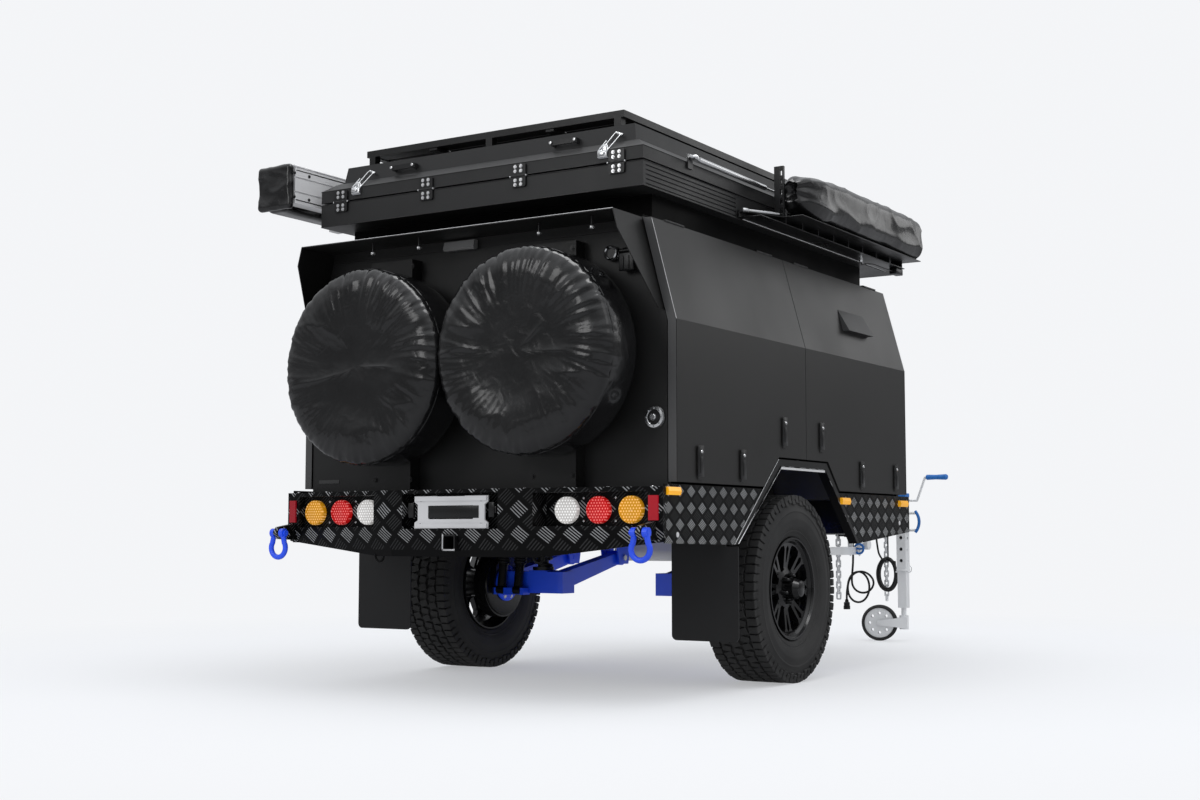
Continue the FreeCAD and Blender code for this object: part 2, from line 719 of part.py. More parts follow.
def side_door(y0, y1):
    """One right-hand gull-wing door, folded at the belt line, cut for the arch."""
    top = BODY_TOP_Z - 3.0
    outline = [
        (BODY_HALF, BODY_Z0), (BODY_HALF, BELT_Z), (body_half_at(top), top),
        (body_half_at(top) - DOOR_T, top), (BODY_HALF - DOOR_T, BELT_Z - 5.0), (BODY_HALF - DOOR_T,
                                                                                BODY_Z0),
    ]
    panel = along_y(outline, y0, y1)
    grow = ARCH_BAND + ARCH_DOOR_GAP
    panel = panel.cut(along_x(arch_outline(grow), BODY_HALF - 2 * DOOR_T, BODY_HALF + DOOR_T))
    return hang_door(panel, y0, y1)


def latch(y, z):
    """A flush compression latch on a door's lower panel."""
    plate = box(BODY_HALF - 2.0, BODY_HALF + 6.0, y - 16.0, y + 16.0, z - 62.0, z + 46.0)
    head = rod(16.0, Vec(BODY_HALF - 2.0, y, z + 46.0), Vec(BODY_HALF + 6.0, y, z + 46.0))
    return [plate, head]


def door_rear():
    """Rear right door with its latches."""
    pieces = [side_door(BODY_REAR_Y, SEAM_Y - DOOR_GAP / 2)]
    for y, z in LATCH_REAR:
        pieces += latch(y, z)
    return fuse(pieces)


def door_front(with_vent):
    """Front right door with its latches, and the vent scoop on one side only."""
    pieces = [side_door(SEAM_Y + DOOR_GAP / 2, BODY_FRONT_Y)]
    for y, z in LATCH_FRONT:
        pieces += latch(y, z)
    if with_vent:
        low, high = SCOOP_Z
        scoop = along_y([(body_half_at(high) - 4.0, high), (body_half_at(low) - 4.0, low),
                         (body_half_at(low) + SCOOP_OUT, low)], *SCOOP_Y)
        pieces.append(scoop)
    return fuse(pieces)


def rear_hood():
    """Canopy over the spare wheels: a top plate, two leaning cheeks and a back strip."""
    top_z = BODY_TOP_Z + 1.0
    foot_x = body_half_at(HOOD_FOOT_Z) - (BODY_TOP_HALF - HOOD_HALF)
    back = BODY_REAR_Y + WALL_SET - SEAT
    top = box(-HOOD_HALF, HOOD_HALF, HOOD_REAR_Y, back, top_z - HOOD_T, top_z)
    lean = (foot_x - HOOD_HALF) / (top_z - HOOD_FOOT_Z)

    def at(y, z):
        return Vec(HOOD_HALF + (top_z - z) * lean, y, z)

    cheek_face = face_of([at(back, top_z), at(HOOD_REAR_Y, top_z), at(HOOD_REAR_Y, top_z - HOOD_LIP),
                          at(HOOD_FOOT_Y, HOOD_FOOT_Z), at(back, HOOD_FOOT_Z)])
    cheek = cheek_face.extrude(Vec(-HOOD_T, 0, 0))
    strip = box(-HOOD_HALF, HOOD_HALF, back - HOOD_T, back, top_z - 44.0, top_z)
    return fuse([top, cheek, flipped(cheek), strip])


def spare_carriers():
    """Two upright channels on the rear wall with a round mounting boss each."""
    pieces = []
    for x in CARRIER_X:
        channel = box(x - CARRIER_W / 2, x + CARRIER_W / 2, BODY_REAR_Y - CARRIER_OUT, BODY_REAR_Y + 2.0,
                      BAR_Z1 + SEAT, CARRIER_Z1)
        inner = box(x - CARRIER_W / 2 + 5.0, x + CARRIER_W / 2 - 5.0, BODY_REAR_Y - CARRIER_OUT + 5.0,
                    BODY_REAR_Y + 3.0, BAR_Z1 - 1.0, CARRIER_Z1 - 5.0)
        pieces.append(channel.cut(inner))
    return Part.makeCompound(pieces)


def spare_covers():
    """Two covered spare wheels as closed drums with a rounded face edge, pressed flat where they meet."""
    middle = sum(SPARE_X) / 2
    back = BODY_REAR_Y - CARRIER_OUT - SEAT
    covers = []
    for x, z in zip(SPARE_X, SPARE_Z):
        drum = rod(SPARE_R, Vec(x, SPARE_FACE_Y, z), Vec(x, back, z))
        rim = [e for e in drum.Edges if abs(e.BoundBox.YMin - SPARE_FACE_Y) < 1 and e.BoundBox.YLength < 1]
        side = math.copysign(1.0, x - middle)
        beyond = box(middle + side * SEAT, middle - side * SPARE_R, SPARE_FACE_Y - 1.0, back + 1.0,
                     z - SPARE_R - 1.0, z + SPARE_R + 1.0)
        covers.append(drum.makeFillet(SPARE_ROUND, rim).cut(beyond))
    return Part.makeCompound(covers)


def bar_plan(inset):
    """The rear bar in plan as (x, y) points, set in from its outer face."""
    corner = SKIRT_REAR_Y - SEAT - inset
    neck = SKIRT_X - SKIRT_T - SEAT - inset
    right = [(neck, BODY_REAR_Y + 2.0), (neck, corner), (BODY_HALF - inset, corner),
             (BODY_HALF - inset, BAR_END_Y + inset), (BAR_MID_X, BAR_MID_Y + inset)]
    return right + [(-x, y) for x, y in reversed(right)]


def rear_bar():
    """Folded plate bar with a winch recess, lamp pockets and a leaning lower apron."""
    outer = along_z(bar_plan(0.0), BAR_FOLD_Z, BAR_Z1)
    inner = along_z(bar_plan(BAR_T), BAR_FOLD_Z - 1.0, BAR_Z1 - BAR_T)
    neck = SKIRT_X - SKIRT_T - SEAT - BAR_T
    back_cut = box(-neck, neck, BODY_REAR_Y - 6.0, BODY_REAR_Y + 10.0, BAR_FOLD_Z - 1.0, BAR_Z1 - BAR_T)
    bar = outer.cut(inner).cut(back_cut)
    winch = box(-WINCH_X, WINCH_X, BAR_MID_Y - 5.0, BAR_MID_Y + WINCH_DEPTH, BAR_FOLD_Z + 4.0, WINCH_Z1)
    winch_box = box(-WINCH_X - 4.0, WINCH_X + 4.0, BAR_MID_Y + 1.0, BAR_MID_Y + WINCH_DEPTH + 4.0,
                    BAR_FOLD_Z, WINCH_Z1 + 4.0)
    open_y = BAR_MID_Y - 55.0
    pocket = box(LAMP_POCKET_X0, LAMP_POCKET_X1, open_y, LAMP_FLOOR_Y, LAMP_POCKET_Z0, LAMP_POCKET_Z1)
    pocket_box = box(LAMP_POCKET_X0 - 4.0, LAMP_POCKET_X1 + 4.0, open_y, LAMP_FLOOR_Y + 4.0,
                     LAMP_POCKET_Z0 - 4.0, LAMP_POCKET_Z1 + 4.0).common(outer)
    bar = fuse([bar, winch_box, pocket_box, flipped(pocket_box)])
    bar = bar.cut(winch).cut(pocket).cut(flipped(pocket))
    return fuse([bar] + bar_apron() + bar_hangers() + tie_loops()).cut(receiver_hole())


def tie_loops():
    """Round-bar tie-down loops under the apron, one on each side."""
    slope = (BAR_END_Y - BAR_MID_Y) / (BODY_HALF - BAR_MID_X)
    y = BAR_MID_Y + (TIE_LOOP_X - BAR_MID_X) * slope + BAR_LOW_LEAN + BAR_T / 2
    ring = Part.makeTorus(TIE_LOOP_R, TIE_LOOP_WIRE_R, Vec(TIE_LOOP_X, y, BAR_LOW_Z), Vec(0, 1, 0), -180,
                          180, 360)
    above = box(TIE_LOOP_X - 100.0, TIE_LOOP_X + 100.0, y - 50.0, y + 50.0, BAR_LOW_Z + 10.0,
                BAR_LOW_Z + 100.0)
    ring = ring.cut(above)
    return [ring, flipped(ring)]


def bar_apron():
    """The lower plates of the rear bar, leaning in from the fold."""
    lean = BAR_LOW_LEAN

    def strip(a, b, az, bz):
        """A leaning plate from point a to point b of the fold line."""
        top_a, top_b = Vec(a[0], a[1], BAR_FOLD_Z), Vec(b[0], b[1], BAR_FOLD_Z)
        low_a = Vec(a[0], a[1] + lean * (BAR_FOLD_Z - az) / (BAR_FOLD_Z - BAR_LOW_Z), az)
        low_b = Vec(b[0], b[1] + lean * (BAR_FOLD_Z - bz) / (BAR_FOLD_Z - BAR_LOW_Z), bz)
        first = Part.makePolygon([top_a, top_a + Vec(0, BAR_T, 0), low_a + Vec(0, BAR_T, 0), low_a,
                                  top_a])
        last = Part.makePolygon([top_b, top_b + Vec(0, BAR_T, 0), low_b + Vec(0, BAR_T, 0), low_b, top_b])
        return Part.makeLoft([first, last], True, True)

    slope = (BAR_END_Y - BAR_MID_Y) / (BODY_HALF - BAR_MID_X)
    bend = (BAR_LOW_X, BAR_MID_Y + (BAR_LOW_X - BAR_MID_X) * slope)
    middle = strip((-BAR_MID_X, BAR_MID_Y), (BAR_MID_X, BAR_MID_Y), BAR_LOW_Z, BAR_LOW_Z)
    near = strip((BAR_MID_X, BAR_MID_Y), bend, BAR_LOW_Z, BAR_LOW_Z)
    far = strip(bend, (BODY_HALF, BAR_END_Y), BAR_LOW_Z, BAR_LOW_END_Z)
    return [middle, near, far, flipped(near), flipped(far)]


def bar_hangers():
    """Brackets that tie the rear bar to the chassis rails, under the body's floor."""
    rear, under, top = LAMP_FLOOR_Y + 2.0, FLOOR_Z0 - RAIL_H, BAR_Z1 - 3.0
    front = RAIL_REAR_Y - SEAT
    outline = [(rear, under), (front, under), (front, FLOOR_Z0), (BODY_REAR_Y, FLOOR_Z0), (BODY_REAR_Y,
                                                                                           top),
               (rear, top)]
    bracket = along_x(outline, RAIL_X - 30.0, RAIL_X + 30.0)
    return [bracket, flipped(bracket)]


def receiver_hole():
    """Room for the receiver tube through the lower apron."""
    half = RECEIVER_SIDE / 2 + SEAT
    return box(-half, half, BAR_MID_Y - 20.0, BODY_REAR_Y + 160.0, RECEIVER_Z - half, RECEIVER_Z + half)


def receiver():
    """Square receiver tube under the rear bar, hung from the rear cross-member."""
    half = RECEIVER_SIDE / 2
    bore = RECEIVER_BORE / 2
    rear = BAR_MID_Y - 2.0
    tube = box(-half, half, rear, rear + RECEIVER_LEN, RECEIVER_Z - half, RECEIVER_Z + half)
    hanger_top = FLOOR_Z0 - RAIL_H + 20.0 - SEAT
    hanger = box(-half, half, CROSS_Y[0], CROSS_Y[0] + CROSS_W, RECEIVER_Z, hanger_top)
    hole = box(-bore, bore, rear - 1.0, rear + RECEIVER_LEN + 1.0, RECEIVER_Z - bore, RECEIVER_Z + bore)
    return fuse([tube, hanger]).cut(hole)


def rear_lamps():
    """Six round lamps: a turned bezel ring round a shallow lens."""
    depth = LAMP_FLOOR_Y - SEAT - LAMP_FACE_Y
    outline = [(0.0, 0.0), (LAMP_R, 0.0), (LAMP_R, depth - 5.0), (LAMP_R - 3.0, depth), (LAMP_R - 7.0,
                                                                                         depth),
               (LAMP_R - 9.0, depth - 5.0), (0.0, depth - 2.0)]
    lamps = []
    for x in LAMP_X:
        face = face_of([Vec(x + r, LAMP_FLOOR_Y - SEAT - d, LAMP_Z) for r, d in outline])
        lamp = face.revolve(Vec(x, 0, LAMP_Z), Vec(0, 1, 0), 360)
        lamps += [lamp, flipped(lamp)]
    return Part.makeCompound(lamps)


def marker_lamps():
    """Amber markers on the skirts, ridged along the middle, and red reflectors on the rear bar's ends."""
    pieces = []
    for y0, y1, z in MARKER_SPOTS:
        lamp = along_y([(SKIRT_X + SEAT, z - MARKER_HALF), (SKIRT_X + 13.0, z - MARKER_HALF),
                        (SKIRT_X + 18.0, z), (SKIRT_X + 13.0, z + MARKER_HALF), (SKIRT_X + SEAT,
                                                                                 z + MARKER_HALF)],
                       y0, y1)
        pieces += [lamp, flipped(lamp)]
    slope = (BAR_END_Y - BAR_MID_Y) / (BODY_HALF - BAR_MID_X)
    x0, x1 = BODY_HALF - 55.0, BODY_HALF - 17.0
    y0 = BAR_END_Y - (BODY_HALF - x0) * slope - SEAT
    y1 = BAR_END_Y - (BODY_HALF - x1) * slope - SEAT
    red = along_z([(x0, y0), (x1, y1), (x1, y1 - 8.0), (x0, y0 - 8.0)], BAR_Z1 - 126.0, BAR_Z1 - 33.0)
    return Part.makeCompound(pieces + [red, flipped(red)])


def fairlead():
    """Bright roller fairlead in the winch recess: flanged, notched plates round a long slot, with side rollers."""
    x, z0, z1 = FAIRLEAD_HALF, BAR_FOLD_Z + 5.0, WINCH_Z1 - 11.0
    front = BAR_MID_Y + 12.0
    notch, waist = 9.0, 16.0
    outline = [(60.0, z0 + notch), (70.0, z0), (x, z0), (x, z0 + 24.0), (x - waist, z0 + 34.0),
               (x - waist, z1 - 34.0),
               (x, z1 - 24.0), (x, z1), (70.0, z1), (60.0, z1 - notch)]
    outline += [(-px, pz) for px, pz in reversed(outline)]
    plate = along_y(outline, front, front + 8.0)
    slot = box(-FAIRLEAD_SLOT, FAIRLEAD_SLOT, BAR_MID_Y, BAR_MID_Y + 30.0, z0 + 38.0, z1 - 38.0)
    pieces = [plate.cut(slot)]
    for low in (z0 + 2.0, z1 - 20.0):
        pieces.append(box(-x + 4.0, x - 4.0, front - 6.0, front + 1.0, low, low + 18.0))
    for side in (-1.0, 1.0):
        post = rod(14.0, Vec(side * (FAIRLEAD_SLOT + 16.0), front + 22.0, z0 + 26.0),
                   Vec(side * (FAIRLEAD_SLOT + 16.0), front + 22.0, z1 - 26.0))
        foot = box(side * (FAIRLEAD_SLOT + 8.0), side * (FAIRLEAD_SLOT + 24.0), front + 7.0,
                   BAR_MID_Y + WINCH_DEPTH - SEAT, z0 + 30.0, z1 - 30.0)
        pieces += [post, foot]
    return fuse(pieces)


def shackle_lug():
    """Plate lug behind a shackle, carried by the end of the rear bar."""
    root_y = BODY_REAR_Y
    plate = along_x([(BAR_END_Y - 6.0, BAR_FOLD_Z + 30.0), (SHACKLE_Y - 8.0, BAR_FOLD_Z + 14.0),
                     (SHACKLE_Y - 24.0, SHACKLE_Z), (SHACKLE_Y, SHACKLE_Z - 26.0), (BAR_END_Y + 14.0,
                                                                                    SHACKLE_Z - 30.0),
                     (root_y, SHACKLE_Z - 20.0), (root_y, BAR_FOLD_Z + 30.0)],
                    SHACKLE_X - SHACKLE_LUG_T / 2, SHACKLE_X + SHACKLE_LUG_T / 2)
    hole = rod(SHACKLE_PIN_R + 0.5, Vec(SHACKLE_X - 20.0, SHACKLE_Y, SHACKLE_Z), Vec(SHACKLE_X + 20.0,
                                                                                     SHACKLE_Y, SHACKLE_Z))
    return plate.cut(hole)


def shackles():
    """Bow shackles hanging from the lugs by their pins."""
    centre = Vec(SHACKLE_X, SHACKLE_Y, SHACKLE_Z - SHACKLE_DROP)
    half = SHACKLE_JAW / 2 + SHACKLE_WIRE_R
    rise = SHACKLE_BOW_R * 0.5
    ring = Part.makeTorus(SHACKLE_BOW_R, SHACKLE_WIRE_R, centre, Vec(0, 1, 0), -180, 180, 360)
    bow = ring.cut(box(SHACKLE_X - 80.0, SHACKLE_X + 80.0, SHACKLE_Y - 30.0, SHACKLE_Y + 30.0,
                       centre.z + rise, centre.z + 90.0))
    reach = math.sqrt(SHACKLE_BOW_R ** 2 - rise ** 2)
    legs = []
    for side in (-1.0, 1.0):
        low = Vec(SHACKLE_X + side * reach, SHACKLE_Y, centre.z + rise - 4.0)
        top = Vec(SHACKLE_X + side * half, SHACKLE_Y, SHACKLE_Z)
        legs.append(rod(SHACKLE_WIRE_R, low, top))
        legs.append(rod(SHACKLE_EYE_R, top - Vec(side * 9.0, 0, 0), top + Vec(side * 11.0, 0, 0)))
    pin = rod(SHACKLE_PIN_R, Vec(SHACKLE_X - half - 20.0, SHACKLE_Y, SHACKLE_Z),
              Vec(SHACKLE_X + half + 12.0, SHACKLE_Y, SHACKLE_Z))
    return both_sides(fuse([bow, pin] + legs))


def side_skirts():
    """Skirt plates along both sides with the flared arch band and its liner lip."""
    band = arch_outline(ARCH_BAND)
    rear_foot, rear_top, front_top, front_foot = band[1], band[2], band[3], band[4]

    def crossing(foot, top):
        """Where an arch edge passes the skirt's upper edge."""
        share = (SKIRT_TOP_Z - foot[1]) / (top[1] - foot[1])
        return (foot[0] + (top[0] - foot[0]) * share, SKIRT_TOP_Z)

    outline = [
        (SKIRT_REAR_Y, ARCH_FOOT_Z + 8.0), (SKIRT_REAR_Y, SKIRT_TOP_Z),
        crossing(rear_foot, rear_top), rear_top, front_top, crossing(front_foot, front_top),
        (SKIRT_FRONT_Y, SKIRT_TOP_Z), (SKIRT_FRONT_Y, SKIRT_FRONT_Z),
        (ARCH_FOOT_FRONT_Y + 20.0, ARCH_FOOT_Z), (ARCH_FOOT_REAR_Y - 12.0, ARCH_FOOT_Z),
    ]
    inner = BODY_HALF - DOOR_T - DOOR_GAP
    outer = SKIRT_X + 6.0
    plate = along_x(outline, SKIRT_X - SKIRT_T, SKIRT_X)
    liner = along_x(arch_outline(ARCH_WALL), inner, outer)
    liner = liner.cut(box(inner - 1.0, outer + 1.0, ARCH_FOOT_REAR_Y - 200.0, ARCH_FOOT_FRONT_Y + 200.0,
                          ARCH_FOOT_Z - 200.0, ARCH_FOOT_Z))
    return both_sides(fuse([plate, liner]).cut(along_x(arch_outline(0.0), inner - 1.0, outer + 1.0)))


def mud_flaps():
    """Rubber flaps behind the wheels, with rounded lower corners, hung on the outriggers."""
    front = OUTRIGGER_Y[0] - SEAT
    back = front - FLAP_T
    inner_x = TYRE_OUT_X - TYRE_W + 2.0
    flap = box(inner_x, inner_x + FLAP_W, back, front, FLAP_Z0, FLAP_Z1)
    corners = [e for e in flap.Edges if e.BoundBox.YLength > FLAP_T - 1.0 and e.BoundBox.ZMax < FLAP_Z0 + 1.0]
    flap = flap.makeFillet(FLAP_ROUND, corners)
    tab = box(inner_x, SKIRT_X - SKIRT_T - 2.0, back, front, FLAP_Z1 - 5.0, OUTRIGGER_Z0 + 60.0)
    return both_sides(fuse([flap, tab]))


def suspension_arms():
    """Independent trailing arms: a cross beam, two legs to the pivots and the stub flange."""
    half = ARM_BEAM / 2
    beam = box(ARM_IN_X, 600.0, -half, half, ARM_BEAM_Z - half, ARM_BEAM_Z + half)
    pieces = [beam]
    for x in PIVOT_X:
        leg = along_x([(-half + 10.0, ARM_BEAM_Z - half + 8.0), (PIVOT_Y, PIVOT_Z - 28.0), (PIVOT_Y,
                                                                                            PIVOT_Z + 28.0),
                       (-half + 10.0, ARM_BEAM_Z + half - 8.0)], x - 30.0, x + 30.0)
        pieces.append(leg)
        pieces.append(rod(36.0, Vec(x - 38.0, PIVOT_Y, PIVOT_Z), Vec(x + 38.0, PIVOT_Y, PIVOT_Z)))
    flange = rod(66.0, Vec(592.0, 0, TYRE_R), Vec(608.0, 0, TYRE_R))
    shock_lug = box(440.0, 616.0, SHOCK_FOOT_Y - 14.0, -half + 5.0, SHOCK_FOOT_Z - 22.0,
                    SHOCK_FOOT_Z + 10.0)
    for x in SHOCK_X:
        shock_lug = shock_lug.cut(box(x - 22.0, x + 22.0, SHOCK_FOOT_Y - 60.0, SHOCK_FOOT_Y + 22.0,
                                      SHOCK_FOOT_Z - 60.0, SHOCK_FOOT_Z + 60.0))
    bolt = rod(8.0, Vec(440.0, SHOCK_FOOT_Y, SHOCK_FOOT_Z), Vec(616.0, SHOCK_FOOT_Y, SHOCK_FOOT_Z))
    pieces += [flange, shock_lug, bolt]
    stub = rod(STUB_R, Vec(600.0, 0, TYRE_R), Vec(800.0, 0, TYRE_R))
    spring_seat = box(SPRING_X - 50.0, SPRING_X + 50.0, -half + 2.0, half - 2.0, ARM_BEAM_Z + half - 1.0,
                      ARM_BEAM_Z + half + SPRING_SEAT_T)
    pieces += [stub, spring_seat]
    return both_sides(fuse(pieces))


def suspension_hangers():
    """Pivot brackets and shock mounts welded under the rails."""
    top = FLOOR_Z0 - RAIL_H - SEAT
    pieces = []
    for x in PIVOT_X:
        for edge in (x - 44.0 - 6.0, x + 44.0 - 6.0 + 6.0):
            pieces.append(along_x([(PIVOT_Y - 90.0, top), (PIVOT_Y - 42.0, PIVOT_Z - 30.0),
                                   (PIVOT_Y + 42.0, PIVOT_Z - 30.0), (PIVOT_Y + 90.0,
                                                                      top)], edge, edge + 6.0))
        pieces.append(rod(12.0, Vec(x - 52.0, PIVOT_Y, PIVOT_Z), Vec(x - 38.5, PIVOT_Y, PIVOT_Z)))
        pieces.append(rod(12.0, Vec(x + 38.5, PIVOT_Y, PIVOT_Z), Vec(x + 52.0, PIVOT_Y, PIVOT_Z)))
    pieces.append(box(PIVOT_X[0] - 60.0, PIVOT_X[1] + 60.0, PIVOT_Y - 90.0, PIVOT_Y + 90.0, top - 8.0,
                      top))
    pieces.append(box(345.0, 640.0, SHOCK_TOP_Y - 40.0, 50.0, top - 6.0, top))
    return both_sides(fuse(pieces))


def shock_absorbers():
    """Twin dampers and a spring on each side."""
    pieces = []
    foot_y, foot_z = SHOCK_FOOT_Y, SHOCK_FOOT_Z
    top = FLOOR_Z0 - RAIL_H - SEAT - 6.0 - SEAT
    for x in SHOCK_X:
        eye = rod(19.0, Vec(x - 20.0, foot_y, foot_z), Vec(x + 20.0, foot_y, foot_z))
        eye = eye.cut(rod(8.3, Vec(x - 30.0, foot_y, foot_z), Vec(x + 30.0, foot_y, foot_z)))
        line = Vec(0, SHOCK_TOP_Y - foot_y, SHOCK_TOP_Z - foot_z)
        unit = Vec(line).normalize()
        start = Vec(x, foot_y, foot_z)
        lower = rod(SHOCK_R - 4.0, start + unit * 16.0, start + unit * 190.0)
        upper = rod(SHOCK_R, start + unit * 120.0, start + line)
        cap = box(x - 14.0, x + 14.0, SHOCK_TOP_Y - 14.0, SHOCK_TOP_Y + 14.0, SHOCK_TOP_Z - 10.0, top)
        pieces.append(fuse([eye, lower, upper, cap]))
    pieces.append(coil_spring(ARM_BEAM_Z + ARM_BEAM / 2 + SPRING_SEAT_T + SEAT, top))
    return Part.makeCompound(pieces + [flipped(piece) for piece in pieces])


def coil_spring(low, high):
    """A coil spring with a cup at each end, standing on the arm's beam."""
    inner = SPRING_R - 2 * SPRING_WIRE_R
    cups = [rod(SPRING_R + 4.0, Vec(SPRING_X, 0, low), Vec(SPRING_X, 0, low + SPRING_CUP)),
            rod(SPRING_R + 4.0, Vec(SPRING_X, 0, high - SPRING_CUP), Vec(SPRING_X, 0, high)),
            rod(inner - 6.0, Vec(SPRING_X, 0, low), Vec(SPRING_X, 0, high))]
    rise = high - low - SPRING_CUP
    radius = SPRING_R - SPRING_WIRE_R
    helix = Part.makeHelix(rise / SPRING_TURNS, rise, radius)
    ring = Part.Wire([Part.makeCircle(SPRING_WIRE_R, Vec(radius, 0, 0), Vec(0, 1, 0))])
    wire = Part.Wire(helix.Edges).makePipeShell([ring], True, True)
    wire.translate(Vec(SPRING_X, 0, low + SPRING_CUP / 2))
    return fuse(cups + [wire])


def water_tank():
    """Bright tank slung under the floor, stepped down where the drawbar arms cross it."""
    reach = RAIL_X - TANK_IN
    top = FLOOR_Z0 - RAIL_H - SEAT
    step = DRAWBAR_Z0 - DOOR_GAP
    tank = along_x([(TANK_Y0, TANK_Z0), (TANK_Y1, TANK_Z0), (TANK_Y1, step), (DRAWBAR_Y0 - 2 * DOOR_GAP,
                                                                              step),
                    (DRAWBAR_Y0 - 2 * DOOR_GAP, top), (TANK_Y0, top)], -reach, reach)
    edges = [e for e in tank.Edges if e.BoundBox.XLength > 500 and e.BoundBox.ZMax < TANK_Z0 + 1.0]
    return tank.makeFillet(TANK_ROUND, edges)


def road_tyre():
    """Tyre as a revolved section with ribs, crossed by a pattern of tread cuts."""
    half = TYRE_W / 2
    deep = TYRE_R - TREAD_DEPTH
    points = [
        (-half + 24.0, BEAD_R), (-half + 4.0, BEAD_R + 30.0), (-half, BEAD_R + 82.0), (-half + 9.0,
                                                                                       TYRE_R - 36.0),
        (-half + 25.0, TYRE_R - 8.0), (-half + 44.0, TYRE_R), (-54.0, TYRE_R), (-50.0, deep), (-42.0,
                                                                                               deep),
        (-38.0, TYRE_R), (-4.0, TYRE_R), (-3.0, deep),
    ]
    points += [(-x, r) for x, r in reversed(points)]
    ring = face_of([Vec(x, 0, r) for x, r in points]).revolve(Vec(0, 0, 0), Vec(1, 0, 0), 360)
    cuts = []
    for index in range(TREAD_COUNT):
        for side in (-1.0, 1.0):
            turn = 360.0 * (index + 0.25 + side * 0.25) / TREAD_COUNT
            shoulder = along_x([(-TREAD_CUT / 2, deep + 1.0), (-TREAD_CUT * 0.7, TYRE_R + 9.0),
                                (TREAD_CUT * 0.7, TYRE_R + 9.0), (TREAD_CUT / 2, deep + 1.0)],
                               side * 56.0, side * (half + 5.0))
            block = box(side * 1.0, side * 44.0, -TREAD_CUT * 0.4, TREAD_CUT * 0.4, deep + 1.0,
                        TYRE_R + 9.0)
            block.rotate(Vec(side * 22.0, 0, 0), Vec(0, 0, 1), 28.0 * side)
            for cutter, shift in ((shoulder, 0.0), (block, 90.0 / TREAD_COUNT)):
                cutter.rotate(Vec(0, 0, 0), Vec(1, 0, 0), turn + shift)
                cuts.append(cutter)
    ring = ring.cut(Part.makeCompound(cuts))
    ring.translate(Vec(WHEEL_X, 0, TYRE_R))
    return ring


def rim_section():
    """The rim barrel's section as (x, radius) points."""
    mid, half = WHEEL_X, RIM_W / 2
    seat = BEAD_R - SEAT
    return [
        (mid - half, seat), (mid - half, seat - RIM_WALL), (mid - 40.0, seat - 24.0 - RIM_WALL),
        (mid + 40.0, seat - 24.0 - RIM_WALL), (mid + half, seat - RIM_WALL), (mid + half, seat),
        (mid + half - 20.0, seat), (mid + 36.0, seat - 24.0), (mid - 36.0,
                                                               seat - 24.0), (mid - half + 20.0, seat),
    ]


def spoke_windows(x0, x1):
    """Cutters for the dished face: a wide window between spokes and a slot in each spoke."""
    windows = []
    for index in range(SPOKE_COUNT):
        wide = along_x([(-14.0, 82.0), (-40.0, 168.0), (-34.0, 186.0), (0.0, 192.0), (34.0, 186.0),
                        (40.0, 168.0),
                        (14.0, 82.0)], x0, x1)
        slot = along_x([(-3.0, 112.0), (-13.0, 172.0), (0.0, 186.0), (13.0, 172.0), (3.0, 112.0)], x0, x1)
        for cutter, shift in ((wide, 0.5), (slot, 0.0)):
            cutter.rotate(Vec(0, 0, 0), Vec(1, 0, 0), 360.0 * (index + shift) / SPOKE_COUNT)
            windows.append(cutter)
    return Part.makeCompound(windows)


def road_rim():
    """Alloy rim with a dished face of split spokes, hub, cap and brake drum."""
    centre, along = Vec(0, 0, 0), Vec(1, 0, 0)
    barrel = face_of([Vec(x, 0, r) for x, r in rim_section()]).revolve(centre, along, 360)
    face_x = TYRE_OUT_X - RIM_FACE_IN
    drop = BEAD_R - SEAT - RIM_WALL
    dish = [(face_x - 62.0, 0.0), (face_x - 62.0, HUB_R), (face_x - 52.0, HUB_R + 30.0), (face_x - 34.0,
                                                                                          drop - 4.0),
            (face_x - 34.0, drop + 2.0), (face_x + 4.0, drop + 2.0), (face_x + 4.0, drop - 8.0),
            (face_x - 8.0, drop - 16.0), (face_x - 22.0, HUB_R + 22.0), (face_x - 12.0,
                                                                         HUB_R - 6.0), (face_x - 12.0,
                                                                                        0.0)]
    face = face_of([Vec(x, 0, r) for x, r in dish]).revolve(centre, along, 360)
    face = face.cut(spoke_windows(face_x - 90.0, face_x + 30.0))
    drum_x = WHEEL_X - DRUM_IN
    cap = [(face_x - 20.0, 0.0), (face_x - 20.0, HUB_CAP_R + 4.0), (TYRE_OUT_X - 6.0, HUB_CAP_R),
           (TYRE_OUT_X + HUB_CAP_OUT, HUB_CAP_R - 9.0), (TYRE_OUT_X + HUB_CAP_OUT, 0.0)]
    pieces = [
        barrel, face,
        face_of([Vec(x, 0, r) for x, r in cap]).revolve(centre, along, 360),
        rod(DRUM_R, Vec(drum_x, 0, 0), Vec(drum_x + DRUM_W, 0, 0)),
        rod(HUB_R - 4.0, Vec(drum_x, 0, 0), Vec(face_x - 50.0, 0, 0)),
    ]
    whole = fuse(pieces).cut(rod(STUB_R + STUB_FIT, Vec(drum_x - 20.0, 0, 0), Vec(WHEEL_X + 3.5, 0, 0)))
    whole.translate(Vec(0, 0, TYRE_R))
    return whole


